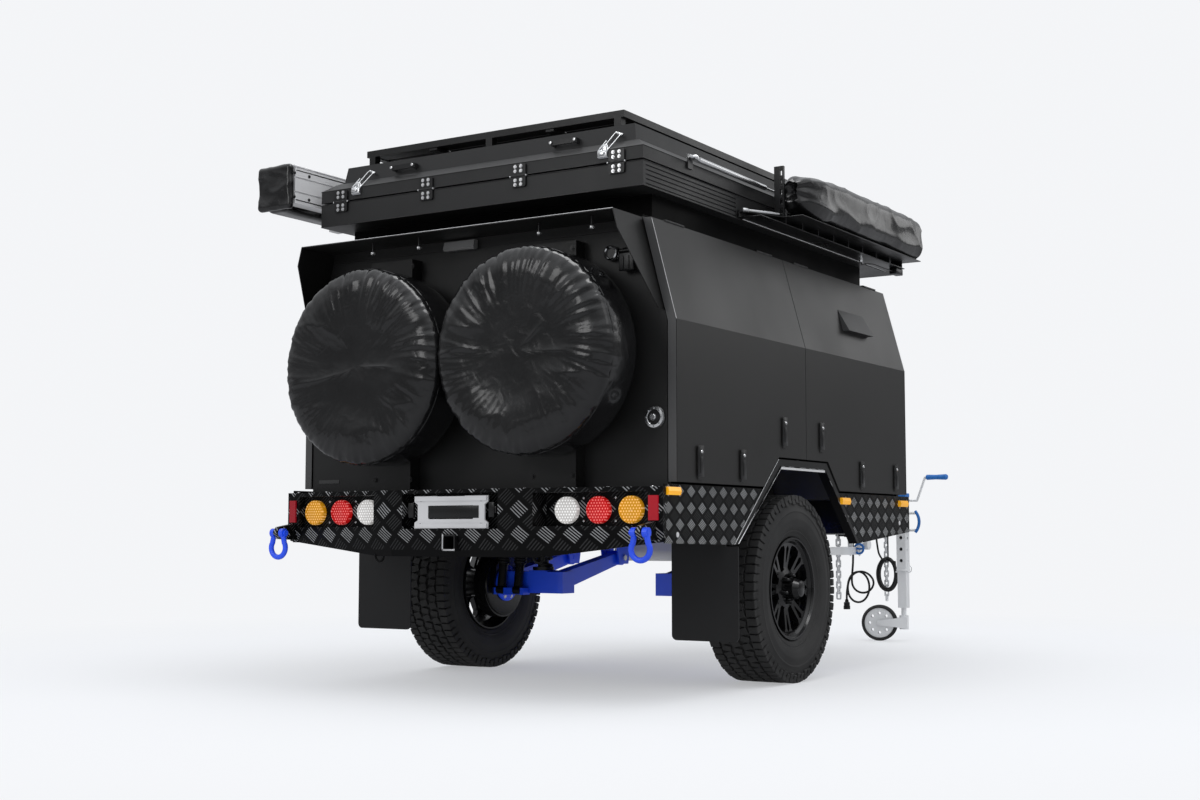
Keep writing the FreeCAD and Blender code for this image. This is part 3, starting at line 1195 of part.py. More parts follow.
def tent_base():
    """Open tray under the lid, with louvred rear sides."""
    outer = box(-TENT_HALF, TENT_HALF, TENT_REAR_Y, TENT_FRONT_Y, TENT_Z0, TENT_BASE_Z1)
    inner = box(-TENT_HALF + TENT_WALL, TENT_HALF - TENT_WALL, TENT_REAR_Y + TENT_WALL,
                TENT_FRONT_Y - TENT_WALL,
                TENT_Z0 + TENT_FLOOR, TENT_BASE_Z1 + 1.0)
    tray = outer.cut(inner)
    pitch = (TENT_BASE_Z1 - TENT_Z0 - 10.0) / LOUVRE_COUNT
    for index in range(LOUVRE_COUNT):
        z = TENT_Z0 + 5.0 + pitch * index
        groove = box(TENT_HALF - LOUVRE_DEPTH, TENT_HALF + 1.0, LOUVRE_Y0, LOUVRE_Y1, z + 3.0, z + 8.0)
        tray = tray.cut(groove).cut(flipped(groove))
    return tray


def tent_mattress():
    """Folded bedding on the tray's floor."""
    gap = TENT_WALL + 20.0
    return box(-TENT_HALF + gap, TENT_HALF - gap, TENT_REAR_Y + gap, TENT_FRONT_Y - gap,
               TENT_Z0 + TENT_FLOOR + SEAT, TENT_BASE_Z1 - 6.0)


def tent_lid():
    """Hollow lid with an upright band, a sloping shoulder and a raised top."""
    def ring(half, rear, front, z):
        return Part.makePolygon([Vec(-half, rear, z), Vec(half, rear, z), Vec(half, front, z), Vec(-half,
                                                                                                   front, z),
                                 Vec(-half, rear, z)])
    low_z = TENT_BASE_Z1 + LID_GAP
    shoulder_half = LID_TOP_HALF + 20.0
    shoulder_in = TENT_HALF - shoulder_half
    outer = [
        box(-TENT_HALF, TENT_HALF, TENT_REAR_Y, TENT_FRONT_Y, low_z, LID_BAND_Z1),
        Part.makeLoft([ring(TENT_HALF, TENT_REAR_Y, TENT_FRONT_Y, LID_BAND_Z1),
                       ring(shoulder_half, TENT_REAR_Y + shoulder_in, TENT_FRONT_Y - shoulder_in,
                            LID_SHOULDER_Z)],
                      True, True),
        Part.makeLoft([ring(LID_TOP_HALF, LID_TOP_REAR_Y, TENT_FRONT_Y - 71.0, LID_SHOULDER_Z - 1.0),
                       ring(LID_TOP_HALF - LID_TOP_IN, LID_TOP_REAR_Y + LID_TOP_IN,
                            TENT_FRONT_Y - 71.0 - LID_TOP_IN,
                          LID_TOP_Z)],
                      True, True),
    ]
    lower = box(-TENT_HALF + TENT_WALL, TENT_HALF - TENT_WALL, TENT_REAR_Y + TENT_WALL,
                TENT_FRONT_Y - TENT_WALL,
                low_z - 1.0, LID_BAND_Z1 - 4.0)
    upper = box(-LID_TOP_HALF + 36.0, LID_TOP_HALF - 36.0, LID_TOP_REAR_Y + 36.0, TENT_FRONT_Y - 107.0,
                LID_BAND_Z1 - 5.0, LID_TOP_Z - 20.0)
    return fuse(outer).cut(lower).cut(upper)


def roof_rack():
    """Rack on the lid: side rails, end bars, slats and feet."""
    top, low = RACK_TOP_Z, RACK_TOP_Z - RACK_TUBE_H
    pieces = []
    for side in (-1.0, 1.0):
        pieces.append(box(side * RACK_HALF, side * (RACK_HALF - RACK_TUBE_W), RACK_REAR_Y, RACK_FRONT_Y,
                          low, top))
    for index in range(RACK_SLATS):
        y = RACK_REAR_Y + (RACK_FRONT_Y - RACK_REAR_Y - RACK_TUBE_W) * index / (RACK_SLATS - 1)
        pieces.append(box(-RACK_HALF, RACK_HALF, y, y + RACK_TUBE_W, low, top))
        for x in (-RACK_HALF + 30.0, 0.0, RACK_HALF - 30.0):
            pieces.append(box(x - 16.0, x + 16.0, y, y + RACK_TUBE_W, LID_TOP_Z + SEAT, low + 1.0))
    return fuse(pieces)


def knuckles(x, y, z, radius, half, rows):
    """Hinge knuckles along X: every second of five short barrels, from row 0 or row 1."""
    length = 2 * half / 5
    return [rod(radius, Vec(x - half + length * i + SEAT, y, z), Vec(x - half + length * (i + 1), y, z))
            for i in range(rows, 5, 2)]


def hinge_half(x, edge, first):
    """One half of a strap hinge: its leaf, the webs to the barrels and every second barrel."""
    z = TENT_BASE_Z1 + LID_GAP / 2
    half = LID_LEAF_HALF
    step = 2 * half / 5
    side = 1.0 if edge > z else -1.0
    back, front = LID_HINGE_Y - 2.0, TENT_REAR_Y - SEAT
    leaf = box(x - half, x + half, back, front, edge, z + side * (LID_KNUCKLE_R + 0.5))
    corners = [e for e in leaf.Edges if e.BoundBox.YLength > 1.0 and abs(e.BoundBox.ZMin - edge) < 0.1]
    leaf = leaf.makeFillet(8.0, corners)
    webs = [box(x - half + step * i + SEAT, x - half + step * (i + 1), back, LID_HINGE_Y + 2.0,
                z, z + side * (LID_KNUCKLE_R + 2.0)) for i in range(first, 5, 2)]
    return fuse([leaf] + webs + knuckles(x, LID_HINGE_Y, z, LID_KNUCKLE_R, half, first))


def tent_hinges():
    """Four strap hinges: fixed leaves and outer knuckles on the tray's rear face."""
    return Part.makeCompound([hinge_half(x, TENT_BASE_Z1 - LID_LEAF_DOWN, 0) for x in LID_HINGE_X])


def lid_fittings():
    """Upper hinge leaves, two over-centre catches, two pull handles and the struts' lugs on the lid."""
    pieces = [hinge_half(x, LID_BAND_Z1 - 7.0, 1) for x in LID_HINGE_X]
    wall = TENT_REAR_Y - SEAT
    for x in CATCH_X:
        outline = [(wall, LID_BAND_Z1 - 35.0), (wall, LID_BAND_Z1 - 3.0), (wall - 6.0, LID_BAND_Z1 - 3.0),
                   (wall - 12.0, LID_BAND_Z1 - 12.0), (wall - 12.0, LID_BAND_Z1 - 26.0), (wall - 6.0,
                                                                                          LID_BAND_Z1 - 35.0)]
        pieces.append(along_x(outline, x - 22.0, x + 22.0))
    pieces += [pull_handle(x) for x in LID_HANDLE_X]
    pin_in, pin_out = TENT_HALF + SEAT, STRUT_X + STRUT_TUBE_R + 3.0
    foot_z = LID_BAND_Z1 - 27.0
    for side in (-1.0, 1.0):
        lug = along_x([(STRUT_LID_Y - 20.0, foot_z), (STRUT_LID_Y + 20.0, foot_z), (STRUT_LID_Y + 20.0,
                                                                                    foot_z + 26.0),
                       (STRUT_LID_Y + 12.0, STRUT_LID_Z + 6.0), (STRUT_LID_Y - 12.0, STRUT_LID_Z + 6.0),
                       (STRUT_LID_Y - 20.0, foot_z + 26.0)], side * pin_in, side * (pin_in + 7.0))
        pin = rod(STRUT_PIN_R, Vec(side * pin_in, STRUT_LID_Y, STRUT_LID_Z), Vec(side * pin_out,
                                                                                 STRUT_LID_Y, STRUT_LID_Z))
        pieces.append(fuse([lug, pin]))
    return Part.makeCompound(pieces)


def pull_handle(x):
    """Bow handle on the lid's upper rear face, its bar bent back to the wall at both ends."""
    z = LID_SHOULDER_Z + 34.0
    lean = LID_TOP_IN / (LID_TOP_Z - LID_SHOULDER_Z + 1.0)
    wall = LID_TOP_REAR_Y + lean * (z - 10.0 - LID_SHOULDER_Z) - SEAT
    out = LID_TOP_REAR_Y - 26.0
    outline = [(x - 62.0, wall), (x - 62.0, out + 8.0), (x - 52.0, out), (x + 52.0, out), (x + 62.0,
                                                                                           out + 8.0),
               (x + 62.0, wall), (x + 50.0, wall), (x + 50.0, out + 10.0), (x - 50.0,
                                                                            out + 10.0), (x - 50.0, wall)]
    return along_z(outline, z - 10.0, z + 10.0)


def strut_tubes():
    """Gas strut tubes with an eye round the lid's pin."""
    run = Vec(0, STRUT_BASE_Y - STRUT_LID_Y, STRUT_BASE_Z - STRUT_LID_Z).normalize()
    anchor = Vec(STRUT_X, STRUT_LID_Y, STRUT_LID_Z)
    eye = rod(STRUT_EYE_R, anchor - Vec(7.0, 0, 0), anchor + Vec(7.0, 0, 0))
    tube = rod(STRUT_TUBE_R, anchor + run * 40.0, anchor + run * STRUT_TUBE_LEN)
    neck = rod(6.0, anchor + run * 5.0, anchor + run * 42.0)
    hole = rod(STRUT_PIN_R + 0.05, anchor - Vec(20.0, 0, 0), anchor + Vec(20.0, 0, 0))
    bore = rod(STRUT_ROD_R + 0.3, anchor + run * 60.0, anchor + run * (STRUT_TUBE_LEN + 1.0))
    return both_sides(fuse([eye, tube, neck]).cut(hole).cut(bore))


def strut_rods():
    """Gas strut rods that end in an open eye at the tray's bracket."""
    run = Vec(0, STRUT_BASE_Y - STRUT_LID_Y, STRUT_BASE_Z - STRUT_LID_Z).normalize()
    end = Vec(STRUT_X, STRUT_BASE_Y, STRUT_BASE_Z)
    anchor = Vec(STRUT_X, STRUT_LID_Y, STRUT_LID_Z)
    shaft = rod(STRUT_ROD_R, anchor + run * 70.0, end - run * 8.0)
    eye = rod(STRUT_EYE_R, end - Vec(6.0, 0, 0), end + Vec(6.0, 0, 0))
    hole = rod(STRUT_PIN_R + 1.5, end - Vec(20.0, 0, 0), end + Vec(20.0, 0, 0))
    return both_sides(fuse([shaft, eye]).cut(hole))


def strut_brackets():
    """Angle brackets on the tray's sides with the pin for each rod's eye."""
    low, top = TENT_BASE_Z1 - 46.0, TENT_BASE_Z1 - 10.0
    plate = along_x([(STRUT_BASE_Y - 16.0, low), (STRUT_BASE_Y + 16.0, low), (STRUT_BASE_Y + 12.0,
                                                                              STRUT_BASE_Z + 10.0),
                     (STRUT_BASE_Y - 12.0, STRUT_BASE_Z + 10.0)], TENT_HALF + 6.5, TENT_HALF + 11.5)
    foot = box(TENT_HALF + SEAT, TENT_HALF + 7.0, STRUT_BASE_Y - 16.0, STRUT_BASE_Y + 16.0, low, top)
    pin = rod(STRUT_PIN_R, Vec(TENT_HALF + 10.0, STRUT_BASE_Y, STRUT_BASE_Z), Vec(STRUT_X + 8.0,
                                                                                  STRUT_BASE_Y, STRUT_BASE_Z))
    return both_sides(fuse([plate, foot, pin]))


def side_tray():
    """Bracket along the right side that carries the bag: an angle rail, a tapered shelf, ribs and an end plate."""
    inner = TENT_HALF + SEAT
    outer = SIDE_REACH - 30.0
    rail = along_y([(inner, TRAY_Z0), (BAG_X0 + 60.0, TRAY_Z0), (BAG_X0 + 60.0, TRAY_Z0 + 4.0),
                    (inner + 5.0, TRAY_Z0 + 4.0),
                    (inner + 5.0, TRAY_Z1), (inner, TRAY_Z1)], TRAY_Y0, TRAY_Y1)
    plate_y = BAG_Y0 - BAG_PLATE_T
    shelf = along_z([(BAG_X0, plate_y), (outer, plate_y), (outer, TRAY_Y1 - 60.0), (outer - 60.0,
                                                                                    TRAY_Y1),
                     (BAG_X0, TRAY_Y1)], TRAY_Z1 - 4.0, TRAY_Z1)
    wedge = along_z([(inner, TRAY_Y0), (inner + 8.0, TRAY_Y0), (BAG_X0 + 60.0, plate_y), (BAG_X0 + 60.0,
                                                                                          BAG_Y0 + 40.0),
                     (inner, BAG_Y0 + 40.0)], TRAY_Z1 - 4.0, TRAY_Z1)
    pieces = [rail, shelf, wedge]
    for index in range(TRAY_RIBS):
        y = BAG_Y0 + (TRAY_Y1 - BAG_Y0 - 30.0) * index / (TRAY_RIBS - 1)
        pieces.append(box(BAG_X0, BAG_X0 + 60.0, y, y + 6.0, TRAY_Z0 + 3.0, TRAY_Z1 - 3.0))
    plate = box(BAG_X0, SIDE_REACH - 8.0, plate_y, BAG_Y0, TRAY_Z1 - 4.0, BAG_Z1 + 12.0)
    for index in range(PLATE_SLOTS):
        z = TRAY_Z1 + 28.0 + 46.0 * index
        plate = plate.cut(box(BAG_X0 + 14.0, BAG_X0 + 26.0, plate_y - 1.0, BAG_Y0 + 1.0, z, z + 28.0))
    pieces.append(plate)
    knob_z = TRAY_Z0 - 12.0
    pieces.append(rod(16.0, Vec(BAG_X0 + 30.0, TRAY_Y1 - 80.0, knob_z), Vec(BAG_X0 + 30.0, TRAY_Y1 + 7.0,
                                                                            knob_z)))
    return fuse(pieces)


def side_bag():
    """Roll bag on the tray as one rounded closed body."""
    bag = box(BAG_X0 + 2.0, SIDE_REACH, BAG_Y0 + SEAT, BAG_Y1, TRAY_Z1 + SEAT, BAG_Z1)
    edges = [e for e in bag.Edges if e.BoundBox.YLength > 500]
    return bag.makeFillet(BAG_ROUND, edges)


def awning_case():
    """Bright extruded awning case along the left side, grooved on its inner face, with its brackets."""
    inner, outer = -AWNING_X0, -AWNING_X0 - AWNING_CASE_T
    outline = [(inner, AWNING_Z0)]
    for z in AWNING_GROOVES:
        outline += [(inner, z - 3.0), (inner - 5.0, z - 3.0), (inner - 5.0, z + 3.0), (inner, z + 3.0)]
    outline += [(inner, AWNING_Z1 - 4.0), (inner - 4.0, AWNING_Z1), (outer, AWNING_Z1), (outer,
                                                                                         AWNING_Z0)]
    pieces = [along_y(outline, AWNING_Y0 + AWNING_END, AWNING_Y1 - AWNING_END / 2)]
    for y in AWNING_BRACKET_Y:
        bracket = [(-TENT_HALF - SEAT, TENT_Z0 + 6.0), (inner - 2.0, TENT_Z0 + 6.0), (inner - 2.0,
                                                                                      AWNING_Z0 + 10.0),
                   (inner - 8.0, AWNING_Z0 + 10.0), (inner - 8.0, TENT_Z0), (-TENT_HALF - SEAT, TENT_Z0)]
        pieces.append(along_y([(x, z + 6.0 if z < TENT_Z0 + 7.0 else z) for x, z in bracket], y,
                              y + AWNING_BRACKET_W))
    return fuse(pieces)


def awning_cover():
    """Soft cover over the awning's outer side and ends, open towards the case."""
    side_x = -SIDE_REACH
    outer = box(-AWNING_X0 - 6.0, side_x, AWNING_Y0, AWNING_Y1, AWNING_Z0 - AWNING_DROP, AWNING_Z1)
    edges = [e for e in outer.Edges if e.BoundBox.YLength > 500 and e.BoundBox.XMin < side_x + 1]
    outer = outer.makeFillet(AWNING_ROUND, edges)
    cuts = [box(-AWNING_X0, -AWNING_X0 - AWNING_CASE_T - SEAT, AWNING_Y0 + AWNING_END - SEAT,
                AWNING_Y1 - AWNING_END / 2 + SEAT, AWNING_Z0 - SEAT, AWNING_Z1 + 1.0)]
    for y in AWNING_BRACKET_Y:
        cuts.append(box(-AWNING_X0 - 12.0, -AWNING_X0, y - 6.0, y + AWNING_BRACKET_W + 6.0,
                        AWNING_Z0 - AWNING_DROP - 1.0, AWNING_Z0 + 1.0))
    return outer.cut(fuse(cuts))


def wall_fittings():
    """Water filler with its cap, power socket, inlet box, lamp box and a plain badge plate on the rear wall."""
    wall = BODY_REAR_Y + WALL_SET - SEAT
    filler_x, filler_z = BODY_HALF - 94.0, BODY_Z0 + 246.0
    turned = []
    for x, z, outline in (
            (filler_x, filler_z, [(0.0, 0.0), (37.0, 0.0), (37.0, 3.0), (28.0, 6.0), (26.0, 14.0), (0.0,
                                                                                                    14.0)]),
            (652.0, BODY_TOP_Z - 131.0, [(0.0, 0.0), (24.0, 0.0), (24.0, 4.0), (19.0, 16.0), (0.0,
                                                                                              16.0)])):
        face = face_of([Vec(x + r, wall - d, z) for r, d in outline])
        turned.append(face.revolve(Vec(x, 0, z), Vec(0, 1, 0), 360))
    inlet_z = BODY_TOP_Z - 157.0
    inlet = along_x([(wall, inlet_z - 43.0), (wall, inlet_z + 43.0), (wall - 14.0, inlet_z + 43.0),
                     (wall - 34.0, inlet_z + 20.0), (wall - 34.0, inlet_z - 43.0)], 700.0, 764.0)
    lamp_z = BODY_TOP_Z - 30.0
    strip = wall - HOOD_T - SEAT
    lamp = along_x([(strip, lamp_z - 20.0), (strip, lamp_z + 18.0), (strip - 22.0, lamp_z + 18.0),
                    (strip - 30.0, lamp_z - 12.0), (strip - 22.0, lamp_z - 20.0)], -160.0, -4.0)
    badge = box(-852.0, -738.0, wall - 1.5, wall, BODY_Z0 + 22.0, BODY_Z0 + 37.0)
    return Part.makeCompound(turned + [inlet, lamp, badge])


def front_toolbox():
    """Open-topped toolbox on the drawbar behind the jockey stand."""
    z0 = DRAWBAR_Z0 + RAIL_H + SEAT
    outer = box(-BOX_HALF, BOX_HALF, BOX_Y0, BOX_Y1, z0, BOX_Z1 - BOX_LID_H)
    inner = box(-BOX_HALF + BOX_T, BOX_HALF - BOX_T, BOX_Y0 + BOX_T, BOX_Y1 - BOX_T, z0 + BOX_T, BOX_Z1)
    z = BOX_Z1 - BOX_LID_H + LID_GAP / 2
    pieces = [outer.cut(inner)]
    for x in BOX_HINGE_X:
        pieces += knuckles(x, BOX_Y0 - BOX_KNUCKLE_R, z, BOX_KNUCKLE_R, 50.0, 0)
        for i in (0, 2, 4):
            pieces.append(box(x - 50.0 + 20.0 * i + SEAT, x - 30.0 + 20.0 * i,
                              BOX_Y0 - BOX_KNUCKLE_R - 1.0, BOX_Y0 + 1.0,
                              z - 24.0, z - LID_GAP / 2 - 0.5))
            pieces.append(box(x - 50.0 + 20.0 * i + SEAT, x - 30.0 + 20.0 * i,
                              BOX_Y0 - BOX_KNUCKLE_R - 1.0,
                              BOX_Y0 - BOX_KNUCKLE_R + 1.0, z - 24.0, z))
    return fuse(pieces)


def toolbox_lid():
    """Folded lid over the toolbox, hinged along its rear edge."""
    low = BOX_Z1 - BOX_LID_H + LID_GAP
    outer = box(-BOX_HALF, BOX_HALF, BOX_Y0, BOX_Y1, low, BOX_Z1)
    inner = box(-BOX_HALF + BOX_T, BOX_HALF - BOX_T, BOX_Y0 + BOX_T, BOX_Y1 - BOX_T, low - 1.0,
                BOX_Z1 - BOX_T)
    z = BOX_Z1 - BOX_LID_H + LID_GAP / 2
    pieces = [outer.cut(inner)]
    for x in BOX_HINGE_X:
        pieces += knuckles(x, BOX_Y0 - BOX_KNUCKLE_R, z, BOX_KNUCKLE_R, 50.0, 1)
        for i in (1, 3):
            pieces.append(box(x - 50.0 + 20.0 * i + SEAT, x - 30.0 + 20.0 * i,
                              BOX_Y0 - BOX_KNUCKLE_R - 1.0, BOX_Y0 + 1.0,
                              z + LID_GAP / 2 + 0.5, z + 24.0))
            pieces.append(box(x - 50.0 + 20.0 * i + SEAT, x - 30.0 + 20.0 * i,
                              BOX_Y0 - BOX_KNUCKLE_R - 1.0,
                              BOX_Y0 - BOX_KNUCKLE_R + 1.0, z, z + 24.0))
    return fuse(pieces)


def jockey_sleeve():
    """Square outer sleeve on its swivel clamp, with pin holes, the crank's shaft and the lift handle's studs."""
    half = JOCKEY_SLEEVE / 2
    bore = half - JOCKEY_SLEEVE_T
    x, y = JOCKEY_X, JOCKEY_Y
    sleeve = box(x - half, x + half, y - half, y + half, JOCKEY_SLEEVE_Z0, JOCKEY_SLEEVE_Z1)
    sleeve = sleeve.makeFillet(6.0, [e for e in sleeve.Edges if e.BoundBox.ZLength > 100.0])
    hole = box(x - bore, x + bore, y - bore, y + bore, JOCKEY_SLEEVE_Z0 - 1.0, JOCKEY_SLEEVE_Z1 - 6.0)
    cuts = [hole]
    for z in JOCKEY_PIN_Z:
        cuts.append(rod(JOCKEY_PIN_R, Vec(x, y - half - 5.0, z), Vec(x, y, z)))
        cuts.append(rod(JOCKEY_PIN_R, Vec(x, y, z), Vec(x + half + 5.0, y, z)))
    return fuse([sleeve] + jockey_clamp() + jockey_crank() + handle_studs()).cut(fuse(cuts))


def jockey_clamp():
    """Clamp plate on the drawbar arm, its round swivel and the arm to the sleeve."""
    x, y, half = JOCKEY_X, JOCKEY_Y, JOCKEY_SLEEVE / 2
    clamp_z = DRAWBAR_Z0 + RAIL_H / 2
    run = Vec(DRAWBAR_X - RAIL_X, DRAWBAR_Y1 - DRAWBAR_Y0, 0).normalize()
    side = Vec(run.y, -run.x, 0)
    centre = Vec(drawbar_x_at(y), y, 0) + side * (RAIL_W / 2 + SEAT)
    reach, out = run * 70.0, side * 10.0
    corners = [centre - reach, centre + reach, centre + reach + out, centre - reach + out]
    plate = along_z([(c.x, c.y) for c in corners], DRAWBAR_Z0 + 4.0, DRAWBAR_Z0 + RAIL_H - 4.0)
    swivel_x = centre.x + RAIL_W
    swivel = rod(RAIL_H / 2 - 10.0, Vec(centre.x + 6.0, y, clamp_z), Vec(swivel_x, y, clamp_z))
    neck = rod(RAIL_H / 2 - 18.0, Vec(swivel_x - 2.0, y, clamp_z), Vec(x - half + 1.0, y, clamp_z))
    return [plate, swivel, neck]


def jockey_crank():
    """Bare metal part of the crank: the shaft out of the sleeve's top and the bent arm."""
    start = Vec(JOCKEY_X + JOCKEY_SLEEVE / 2 - 2.0, JOCKEY_Y, JOCKEY_SLEEVE_Z1 - CRANK_DOWN)
    elbow = start + Vec(CRANK_SHAFT, 0, 0)
    top = Vec(elbow.x + CRANK_ARM, JOCKEY_Y, CRANK_GRIP_Z)
    end = top + Vec(CRANK_GRIP_LEN - 6.0, 0, 0)
    return [rod(CRANK_R, start, elbow), Part.makeSphere(CRANK_R, elbow), rod(CRANK_R, elbow, top),
            Part.makeSphere(CRANK_R, top), rod(CRANK_R, top, end)]


def handle_studs():
    """The two studs that carry the lift handle."""
    x = JOCKEY_X + JOCKEY_SLEEVE / 2
    return [rod(HANDLE_R - 1.0, Vec(x - 2.0, JOCKEY_Y, z), Vec(x + HANDLE_OUT, JOCKEY_Y, z))
            for z in (HANDLE_Z0 + 22.0, HANDLE_Z1 - 22.0)]


def jockey_grips():
    """Blue grip on the crank, sleeve on the lift handle's bow and cap over the sleeve's top."""
    half = JOCKEY_SLEEVE / 2
    x, y = JOCKEY_X + half, JOCKEY_Y
    start_x = x - 2.0 + CRANK_SHAFT + CRANK_ARM + 8.0
    end_x = start_x + CRANK_GRIP_LEN
    outline = [(start_x, CRANK_R + SEAT), (start_x, 12.0), (start_x + 6.0, 16.0), (start_x + 60.0, 14.0),
               (end_x - 8.0, 17.0), (end_x, 12.0), (end_x, 0.0), (end_x - 13.0, 0.0), (end_x - 13.0,
                                                                                       CRANK_R + SEAT)]
    grip = face_of([Vec(gx, y, CRANK_GRIP_Z + r) for gx, r in outline])
    grip = grip.revolve(Vec(0, y, CRANK_GRIP_Z), Vec(1, 0, 0), 360)
    low, high = HANDLE_Z0 + 10.0, HANDLE_Z1 - 10.0
    bow_x = x + HANDLE_OUT
    arc = Part.Arc(Vec(bow_x, y, low), Vec(bow_x + HANDLE_BOW, y, (low + high) / 2), Vec(bow_x, y, high))
    ring = Part.Wire([Part.makeCircle(HANDLE_R, arc.StartPoint, arc.tangent(arc.FirstParameter)[0])])
    bow = Part.Wire([arc.toShape()]).makePipeShell([ring], True, False)
    bow = bow.cut(fuse(handle_studs()))
    bow = bow.cut(box(x - 10.0, bow_x - HANDLE_R - 2.0, y - 30.0, y + 30.0, HANDLE_Z0 - 30.0,
                      HANDLE_Z1 + 30.0))
    cap_low = JOCKEY_SLEEVE_Z1 + SEAT
    cap = box(JOCKEY_X - half - 3.0, x + 3.0, y - half - 3.0, y + half + 3.0, cap_low,
              cap_low + JOCKEY_CAP_H)
    cap = cap.makeFillet(5.0, [e for e in cap.Edges if e.BoundBox.ZMin > cap_low + 1.0 or e.BoundBox.ZLength > 5.0])
    return Part.makeCompound([grip, bow, cap])


def jockey_leg():
    """Square inner leg that slides in the sleeve, with a pin cap below."""
    half = JOCKEY_LEG / 2
    x, y = JOCKEY_X, JOCKEY_Y
    leg = box(x - half, x + half, y - half, y + half, JOCKEY_LEG_Z0, JOCKEY_LEG_Z1)
    spigot = rod(15.0, Vec(x, y, JOCKEY_FORK_Z1 + SEAT), Vec(x, y, JOCKEY_LEG_Z0 + 1.0))
    return fuse([leg, spigot])


def jockey_turned(shape):
    """Turn a piece drawn with the caster trailing along +X to the stand's real heading."""
    shape.rotate(Vec(0, 0, 0), Vec(0, 0, 1), JOCKEY_TURN_DEG)
    shape.translate(Vec(JOCKEY_X, JOCKEY_Y, 0))
    return shape


def jockey_fork():
    """Caster casting with two tapered arms to the wheel's pin."""
    trail, centre_z = JOCKEY_TRAIL, JOCKEY_WHEEL_R
    boss = rod(JOCKEY_FORK_R, Vec(0, 0, JOCKEY_FORK_Z0), Vec(0, 0, JOCKEY_FORK_Z1))
    pieces = [boss]
    inner = JOCKEY_WHEEL_W / 2 + 5.0
    for side in (-1.0, 1.0):
        y0 = side * inner
        arm = along_y([(-20.0, JOCKEY_FORK_Z0 + 6.0), (trail, centre_z - 15.0), (trail, centre_z + 15.0),
                       (-20.0, JOCKEY_FORK_Z1 - 8.0)], y0, y0 + side * 6.0)
        end = rod(15.0, Vec(trail, y0, centre_z), Vec(trail, y0 + side * 6.0, centre_z))
        pieces += [arm, end]
    web = box(-20.0, 16.0, -inner - 5.0, inner + 5.0, JOCKEY_FORK_Z0 + 8.0, JOCKEY_FORK_Z1 - 8.0)
    pin = rod(6.0, Vec(trail, -inner - 10.0, centre_z), Vec(trail, inner + 10.0, centre_z))
    pieces += [web, pin]
    return jockey_turned(fuse(pieces))


def jockey_tyre():
    """Solid rubber tread of the jockey wheel."""
    trail, z = JOCKEY_TRAIL, JOCKEY_WHEEL_R
    half = JOCKEY_WHEEL_W / 2
    points = [(-half, JOCKEY_RIM_R + SEAT), (-half, JOCKEY_WHEEL_R - 9.0), (-half + 9.0, JOCKEY_WHEEL_R),
              (half - 9.0, JOCKEY_WHEEL_R), (half, JOCKEY_WHEEL_R - 9.0), (half, JOCKEY_RIM_R + SEAT)]
    face = face_of([Vec(r, y, 0) for y, r in points])
    tyre = face.revolve(Vec(0, 0, 0), Vec(0, 1, 0), 360)
    tyre.translate(Vec(trail, 0, z))
    return jockey_turned(tyre)


def jockey_rim():
    """White plastic centre of the jockey wheel with slots."""
    trail, z = JOCKEY_TRAIL, JOCKEY_WHEEL_R
    half = JOCKEY_WHEEL_W / 2 - 4.0
    rim = rod(JOCKEY_RIM_R, Vec(trail, -half, z), Vec(trail, half, z))
    for index in range(8):
        slot = rod(9.0, Vec(trail + 58.0, -half - 1.0, z), Vec(trail + 58.0, half + 1.0, z))
        slot.rotate(Vec(trail, 0, z), Vec(0, 1, 0), 45.0 * index)
        rim = rim.cut(slot)
    rim = rim.cut(rod(6.05, Vec(trail, -half - 1.0, z), Vec(trail, half + 1.0, z)))
    return jockey_turned(rim)


def stabiliser(side):
    """Drop leg folded back under the drawbar, with its foot plate."""
    half = STAB_TUBE / 2
    x = side * STAB_X
    tube = box(x - half, x + half, STAB_Y - STAB_LEN, STAB_Y + 18.0, STAB_Z - half, STAB_Z + half)
    bore = half - 3.0
    tube = tube.cut(box(x - bore, x + bore, STAB_Y - STAB_LEN - 1.0, STAB_Y + 19.0, STAB_Z - bore,
                        STAB_Z + bore))
    foot = box(x - 34.0, x + 34.0, STAB_Y - STAB_LEN - 6.0, STAB_Y - STAB_LEN, STAB_Z - 34.0,
               STAB_Z + 34.0)
    hole = rod(8.05, Vec(x - 40.0, STAB_Y, STAB_Z), Vec(x + 40.0, STAB_Y, STAB_Z))
    return fuse([tube, foot]).cut(hole)


def stabiliser_brackets():
    """Cheek plates under the drawbar with the legs' pivot pins and locking knobs."""
    half = STAB_TUBE / 2 + 3.0
    pieces = []
    for edge in (STAB_X - half - 5.0, STAB_X + half):
        pieces.append(along_x([(STAB_Y - 32.0, DRAWBAR_Z0 - SEAT), (STAB_Y - 28.0, STAB_Z - 10.0),
                               (STAB_Y, STAB_Z - 30.0),
                               (STAB_Y + 28.0, STAB_Z - 10.0), (STAB_Y + 32.0,
                                                                DRAWBAR_Z0 - SEAT)], edge, edge + 5.0))
    pieces.append(box(STAB_X - half - 5.0, STAB_X + half + 5.0, STAB_Y - 32.0, STAB_Y + 32.0,
                      DRAWBAR_Z0 - SEAT - 6.0,
                      DRAWBAR_Z0 - SEAT))
    pieces.append(rod(8.0, Vec(STAB_X - half - 9.0, STAB_Y, STAB_Z), Vec(STAB_X + half + 9.0, STAB_Y,
                                                                         STAB_Z)))
    knob_x, knob_z = STAB_X + half + 38.0, STAB_Z + 34.0
    pieces.append(rod(9.0, Vec(knob_x - 34.0, STAB_Y, knob_z), Vec(knob_x + 2.0, STAB_Y, knob_z)))
    pieces.append(rod(28.0, Vec(knob_x, STAB_Y, knob_z), Vec(knob_x + 24.0, STAB_Y, knob_z)))
    return both_sides(fuse(pieces))


